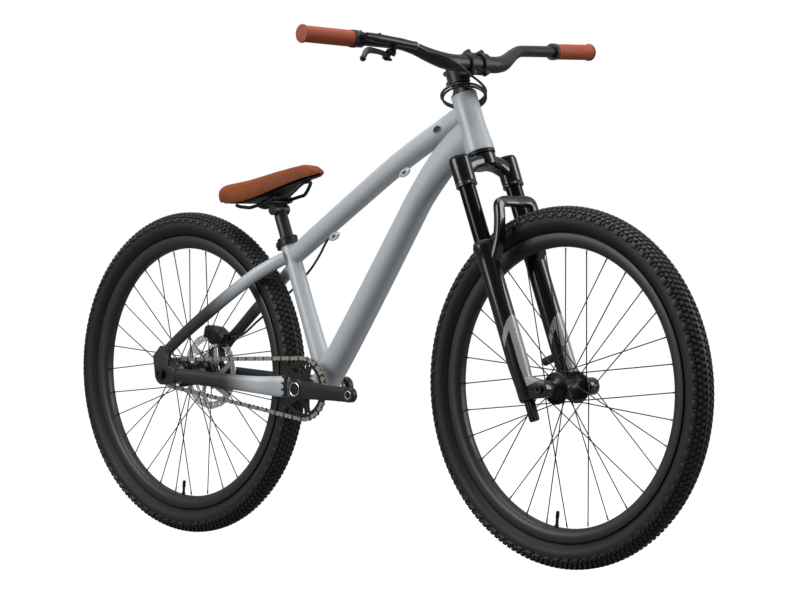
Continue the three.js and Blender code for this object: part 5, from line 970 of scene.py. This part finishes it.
# Grips: brown rubber sleeves with fine rings moulded round them and a lip at the closed end,
# pushed on to the bar against a black collar.
grip_brown = surface("grip_brown", (0.36, 0.078, 0.036), 0.5, shine=0.25, speckle=0.12, speckle_scale=500,
                     bump=0.08, bump_scale=900)
collar_black = surface("collar_black", (0.012, 0.012, 0.013), 0.45)
for label, side in SIDES:
    root, tip = bar_at(side, 273.5), bar_at(side, 400.5)
    out = (tip - root).normalized()
    grip_place = STEER @ (Matrix.Translation(root) @ out.to_track_quat("Z", "Y").to_matrix().to_4x4())
    profile = [(11.5, 9.4), (14.6, 9.4), (15.2, 10.2)]
    height = 11.5
    while height < 120:
        profile += [(14.95, height), (15.35, height + 0.5), (15.35, height + 1.3), (14.95, height + 1.8)]
        height += 2.3
    profile += [(15.3, 122.4), (16.7, 123), (17.2, 123.8), (17.2, 125.6), (16.6, 126.6), (14.6, 127.0),
                (0, 127.0), (0, 124), (11.5, 124)]
    bm = bmesh.new()
    turned(bm, profile, 48, closed=False)
    bmesh.ops.holes_fill(bm, edges=[e for e in bm.edges if e.is_boundary], sides=0)
    make_piece(bm, f"grip_sleeve_{label}", "steering", grip_brown, f"{label}_grip",
               grip_place, smooth=50)
    turned_piece(f"grip_collar_{label}", "steering", collar_black, None, grip_place, [
        (11.5, 0), (15.8, 0), (16.6, 0.8), (16.6, 8.4), (15.9, 9.1), (11.5, 9.1)], 48)

# Brake lever: a black master cylinder clamped beside the right grip, with a rubber boot over the hose end
# and a short two-finger blade that pivots under it; its small bolts and the boot's ferrule are bare steel.
lever_black = surface("lever_black", (0.022, 0.022, 0.024), 0.28, metallic=0.5)


def beside_bar(y, fall):
    return bar_at(-1, y) + mm(25, 0, -5 - fall)


pivot = bar_at(-1, 211.5) + mm(7.5, 0, -30)
blade_line = [pivot, pivot + mm(7.4, -34.4, 2), pivot + mm(13.1, -65.6, -1), pivot + mm(13.1, -82, -16.4)]
tip_at, grip_at = blade_line[-1], bar_at(-1, 293.5)
away = Vector((tip_at.x - grip_at.x, 0, tip_at.z - grip_at.z)).normalized()
pin_axis = Vector((-away.z, 0, away.x))
PIVOT = Matrix.Translation(pivot) @ Matrix((away, Y_AXIS, pin_axis)).transposed().to_4x4()
clamp_start, clamp_middle, clamp_end = bar_at(-1, 257.5), bar_at(-1, 264), bar_at(-1, 270.5)
clamp_axis = (clamp_end - clamp_start).normalized()
hose_end = beside_bar(152.5, 9)
bm = bmesh.new()
add_turned(bm, [(11.4, 0), (14.2, 0), (15.1, 0.9), (15.1, 12.1), (14.2, 13), (11.4, 13)],
           Matrix.Translation(clamp_start) @ clamp_axis.to_track_quat("Z", "Y").to_matrix().to_4x4(), 40)
bridge = (beside_bar(264, 0) - clamp_middle).normalized()
rod(bm, clamp_middle + bridge * 0.0125, beside_bar(264, 0), 0.0064, sides=24)
cylinder_line = [beside_bar(270.5, 0), beside_bar(245, 2), beside_bar(200, 5.4), hose_end]
draw_bar(bm, cylinder_line, [14, 16.4, 16, 13], [13, 15.5, 15, 12.6], 26, 28, 2.6, X_AXIS)
rod(bm, beside_bar(236, 2.5) + mm(0, 0, 5), beside_bar(236, 2.5) + mm(0, 0, 10), 0.0046, 0.004, sides=20)
boot_line = [beside_bar(157, 9), beside_bar(140, 15), beside_bar(126.8, 20.8)]
draw_bar(bm, boot_line, [10.2, 9.2, 7.4], [10.2, 9.2, 7.4], 14, 24, upwards=X_AXIS)
for side in (-1, 1):
    rod(bm, PIVOT @ mm(0, 0, side * 6.4), PIVOT @ mm(0, 0, side * 9.4), 0.0064, sides=28)
    block(bm, PIVOT @ placed(mm(0, 6.5, side * 7.9)), (12.5, 13, 3))
draw_bar(bm, [PIVOT @ mm(0, 9.9, 0), beside_bar(201.6, 5.2)], [5.6, 11], [18.6, 12], 6, 20, 3, Y_AXIS)
make_piece(bm, "master_cylinder", "steering", lever_black, "brake_lever_body", STEER)
bm = bmesh.new()
clamp_top = clamp_middle + mm(6, 0, 13.6)
for sideways in (-3.6, 3.6):
    rod(bm, clamp_top + mm(0, sideways, -1), clamp_top + mm(1, sideways, 2), 0.0024, 0.0021, sides=20)
rod(bm, hose_end + mm(0, -1, 0), hose_end + mm(0, 0.6, 0), 0.0074, sides=32)
rod(bm, PIVOT @ mm(0, 0, 9.2), PIVOT @ mm(0, 0, 10.2), 0.0032, sides=20)
make_piece(bm, "lever_bolts", "steering", bolt_steel, place=STEER)
bm = bmesh.new()
draw_bar(bm, blade_line, [10.8, 9.9, 10.8, 9], [9, 9, 12.8, 9], 40, 24, 2.6, away)
rod(bm, PIVOT @ mm(0, 0, -4.5), PIVOT @ mm(0, 0, 4.5), 0.0065, sides=28)
bmesh.ops.create_uvsphere(bm, u_segments=20, v_segments=14, radius=0.006, matrix=Matrix.Translation(tip_at))
make_piece(bm, "lever_blade", "brake_lever", lever_black, "brake_lever_blade", STEER)

# Brake hose: one thin black line from the lever's boot, down past the stem, in a tilted coil of two turns
# round the headset, and on through the top tube and along the left stay to the caliper.
hose_black = surface("hose_black", (0.009, 0.009, 0.010), 0.34, coat=0.2)
hose_diameter, coil_turns, coil_radius, coil_height = 0.0048, 2.17, 41, 116


def loop_at(share):
    """A point of the coil, measured from the head tube's foot; it tilts, falls and narrows."""
    turn = math.radians(50) + share * coil_turns * 2 * math.pi
    radius = coil_radius + 3 * (0.5 - share)
    height = coil_height + 13 * math.cos(turn + math.radians(80)) + 11.5 * (0.5 - share)
    return mm(radius * math.cos(turn), radius * math.sin(turn), height)


def loop_end(share, distance):
    onward = (loop_at(share + 0.001) - loop_at(share)).normalized()
    return loop_at(share) + onward * distance / 1000


def hose(name, points, body, node, place):
    """A hose of one open spline through closely spaced points."""
    data = bpy.data.curves.new(name, "CURVE")
    data.dimensions = "3D"
    data.bevel_depth = hose_diameter / 2
    data.bevel_resolution = 4
    data.use_fill_caps = True
    line = data.splines.new("POLY")
    route = [place @ p for p in points]
    line.points.add(len(route) - 1)
    for point, co in zip(line.points, route):
        point.co = (*co, 1)
    line.use_smooth = True
    data.materials.append(hose_black)
    piece = bpy.data.objects.new(name, data)
    bpy.context.collection.objects.link(piece)
    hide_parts(node)
    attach(piece, body)


bar_route = [mm(51.6, -125.6, 177.3), mm(59, -108, 170), mm(66, -82, 157), mm(65, -60, 146), mm(56, -28, 132),
             mm(47, -2, 126), mm(38, 19.5, 119), loop_end(0, -5), loop_end(0, -0.45)]
frame_route = [STEER @ loop_end(1, 0.6), STEER @ loop_end(1, 5), mm(238, 28, 851), mm(222, 19, 835),
               mm(200, 8, 811), mm(150, 4, 782), mm(0, 4, 690), mm(-110, 8, 616), mm(-146, 17, 582),
               mm(-186, 30, 553), mm(-236, 38, 520), mm(-300, 50, 484), mm(-370, 56, 446), mm(-425, 58, 414),
               mm(-457.5, 57.5, 409.5)]
hose("hose_at_bar", [on_line(bar_route, k / 40) for k in range(41)], "steering", "bar_hose", STEER)
hose("hose_loops", [loop_at(k / 72) for k in range(73)], "frame", "looped_hose", STEER)
hose("hose_along_frame", [on_line(frame_route, k / 90) for k in range(91)], "frame", "frame_hose",
     Matrix.Identity(4))

# Seatpost: a black aluminium post with a forged round head that the rail clamp tips on.
# It slides in the seat tube and is held by the seat clamp.
post_black = surface("post_black", (0.030, 0.030, 0.032), 0.34, metallic=0.5, bump=0.04)
bm = bmesh.new()
turned(bm, [(11, -96), (13.6, -96), (13.6, 48), (13.3, 53), (12.3, 58), (11.2, 62), (0, 63), (0, 36),
       (11, 36)], closed=False)
rod(bm, mm(0, -20, 64), mm(0, 20, 64), 0.0109, sides=48)
make_piece(bm, "post_and_head", "seatpost", post_black, "seatpost", SEAT)

# Saddle clamp and rails: a black tube on each rail joined by an upper and a lower plate, and a hollow
# black rail bent in one piece that goes into the shell at the tail and at the nose.
SADDLE = SEAT @ placed(mm(0, 0, 80), math.pi / 2 - SEAT_ANGLE - math.radians(12))
bm = bmesh.new()
for side in (-1, 1):
    add_turned(bm, [(3.9, -17), (6.4, -17), (7, -16.3), (7, 16.3), (6.4, 17), (3.9, 17)],
               placed(mm(0, side * 22, 2), math.pi / 2), 36)
for z, tall in ((6.4, 4.2), (-2.2, 3.6)):
    block(bm, placed(mm(0, 0, z)), (30, 36, tall), 0.0012)
make_piece(bm, "rail_clamp_block", "rail_clamp", black_anodised, "saddle_clamp", SADDLE)
rail_black = surface("rail_black", (0.014, 0.014, 0.015), 0.35, metallic=0.5)
half_rail = [mm(-88, 31, 14), mm(-80, 28.6, 9.4), mm(-68.6, 25.1, 5.4), mm(-59, 22.7, 2.5), mm(-50, 22, 2),
             mm(-41, 22, 2), mm(46, 22, 2), mm(58, 21.3, 2), mm(71.6, 18, 7), mm(84.4, 14.5, 14.6),
             mm(94, 9.2, 19.5), mm(98, 0, 20)]
bm = bmesh.new()
draw_bar(bm, mirrored(half_rail), [7, 7], [7, 7], 150, 20)
make_piece(bm, "rail_loop", "saddle", rail_black, "saddle_rails", SADDLE)

# Saddle: a small flat jump saddle; a black moulded shell under a thin brown padded cover
# that is glued over its edge, narrow at the nose and rounded at the tail.
saddle_length, saddle_tail, saddle_half, saddle_crown = 264, -128, 68, 62
saddle_shares = [(0, 0.38, 0.86, 0.66), (0.04, 0.72, 0.97, 0.55), (0.12, 0.96, 0.99, 0.42),
                 (0.22, 1, 0.95, 0.32), (0.34, 0.9, 0.92, 0.28), (0.46, 0.72, 0.93, 0.32),
                 (0.58, 0.54, 0.94, 0.4), (0.72, 0.38, 0.93, 0.47), (0.85, 0.31, 0.9, 0.5),
                 (0.94, 0.25, 0.78, 0.48), (1, 0.13, 0.6, 0.47)]


def saddle_station(share):
    """Shares of the half width, the crown and the lower edge at a share of the saddle's length."""
    for low, high in zip(saddle_shares, saddle_shares[1:]):
        if share <= high[0] + 1e-9:
            t = (share - low[0]) / (high[0] - low[0])
            t = t * t * (3 - 2 * t) * 0.35 + t * 0.65
            return [a + (b - a) * t for a, b in zip(low[1:], high[1:])]


def saddle_form(bm, top, bottom, narrow, skirt):
    """A domed body along the saddle between two heights, narrowed at its edge and with a lip below it."""
    dome = []
    for k in range(25):
        t = math.pi * (1 - k / 24)
        dome.append((math.copysign(abs(math.cos(t)) ** 0.75, math.cos(t)), abs(math.sin(t)) ** 0.6))
    lip = [(0.975, -skirt), (0.92, -skirt), (0.9, 0.0), (0.5, 0.0)]
    dome += lip + [(-x, y) for x, y in reversed(lip)]
    places = []
    for s in range(61):
        wide, crown, edge = saddle_station(s / 60)
        half = max(wide * saddle_half - narrow, 1)
        high, low = top(crown * saddle_crown, edge * saddle_crown), bottom(edge * saddle_crown)
        upright = Matrix(((0, 0, 1, 0), (half, 0, 0, 0), (0, high - low, 0, 0), (0, 0, 0, 1)))
        upright = Matrix.Diagonal((0.001, 0.001, 0.001, 1)) @ upright
        places.append(placed(mm(saddle_tail + s / 60 * saddle_length, 0, low)) @ upright)
    draw_section(bm, places, dome)


leather_brown = surface("saddle_brown", (0.215, 0.055, 0.017), 0.45, shine=0.12, speckle=0.1,
                        speckle_scale=160, bump=0.22, bump_scale=520)
shell_black = surface("saddle_shell_black", (0.013, 0.013, 0.014), 0.5)
bm = bmesh.new()
saddle_form(bm, lambda crown, edge: crown, lambda edge: edge + 0.3, 0, 0.15)
cover = make_piece(bm, "saddle_padding", "saddle", leather_brown, "saddle_cover", SADDLE,
                   smooth=60)
bm = bmesh.new()
saddle_form(bm, lambda crown, edge: edge, lambda edge: edge - 6.6, 12, 0.01)
make_piece(bm, "saddle_shell", "saddle", shell_black, "saddle_base", SADDLE, smooth=50)
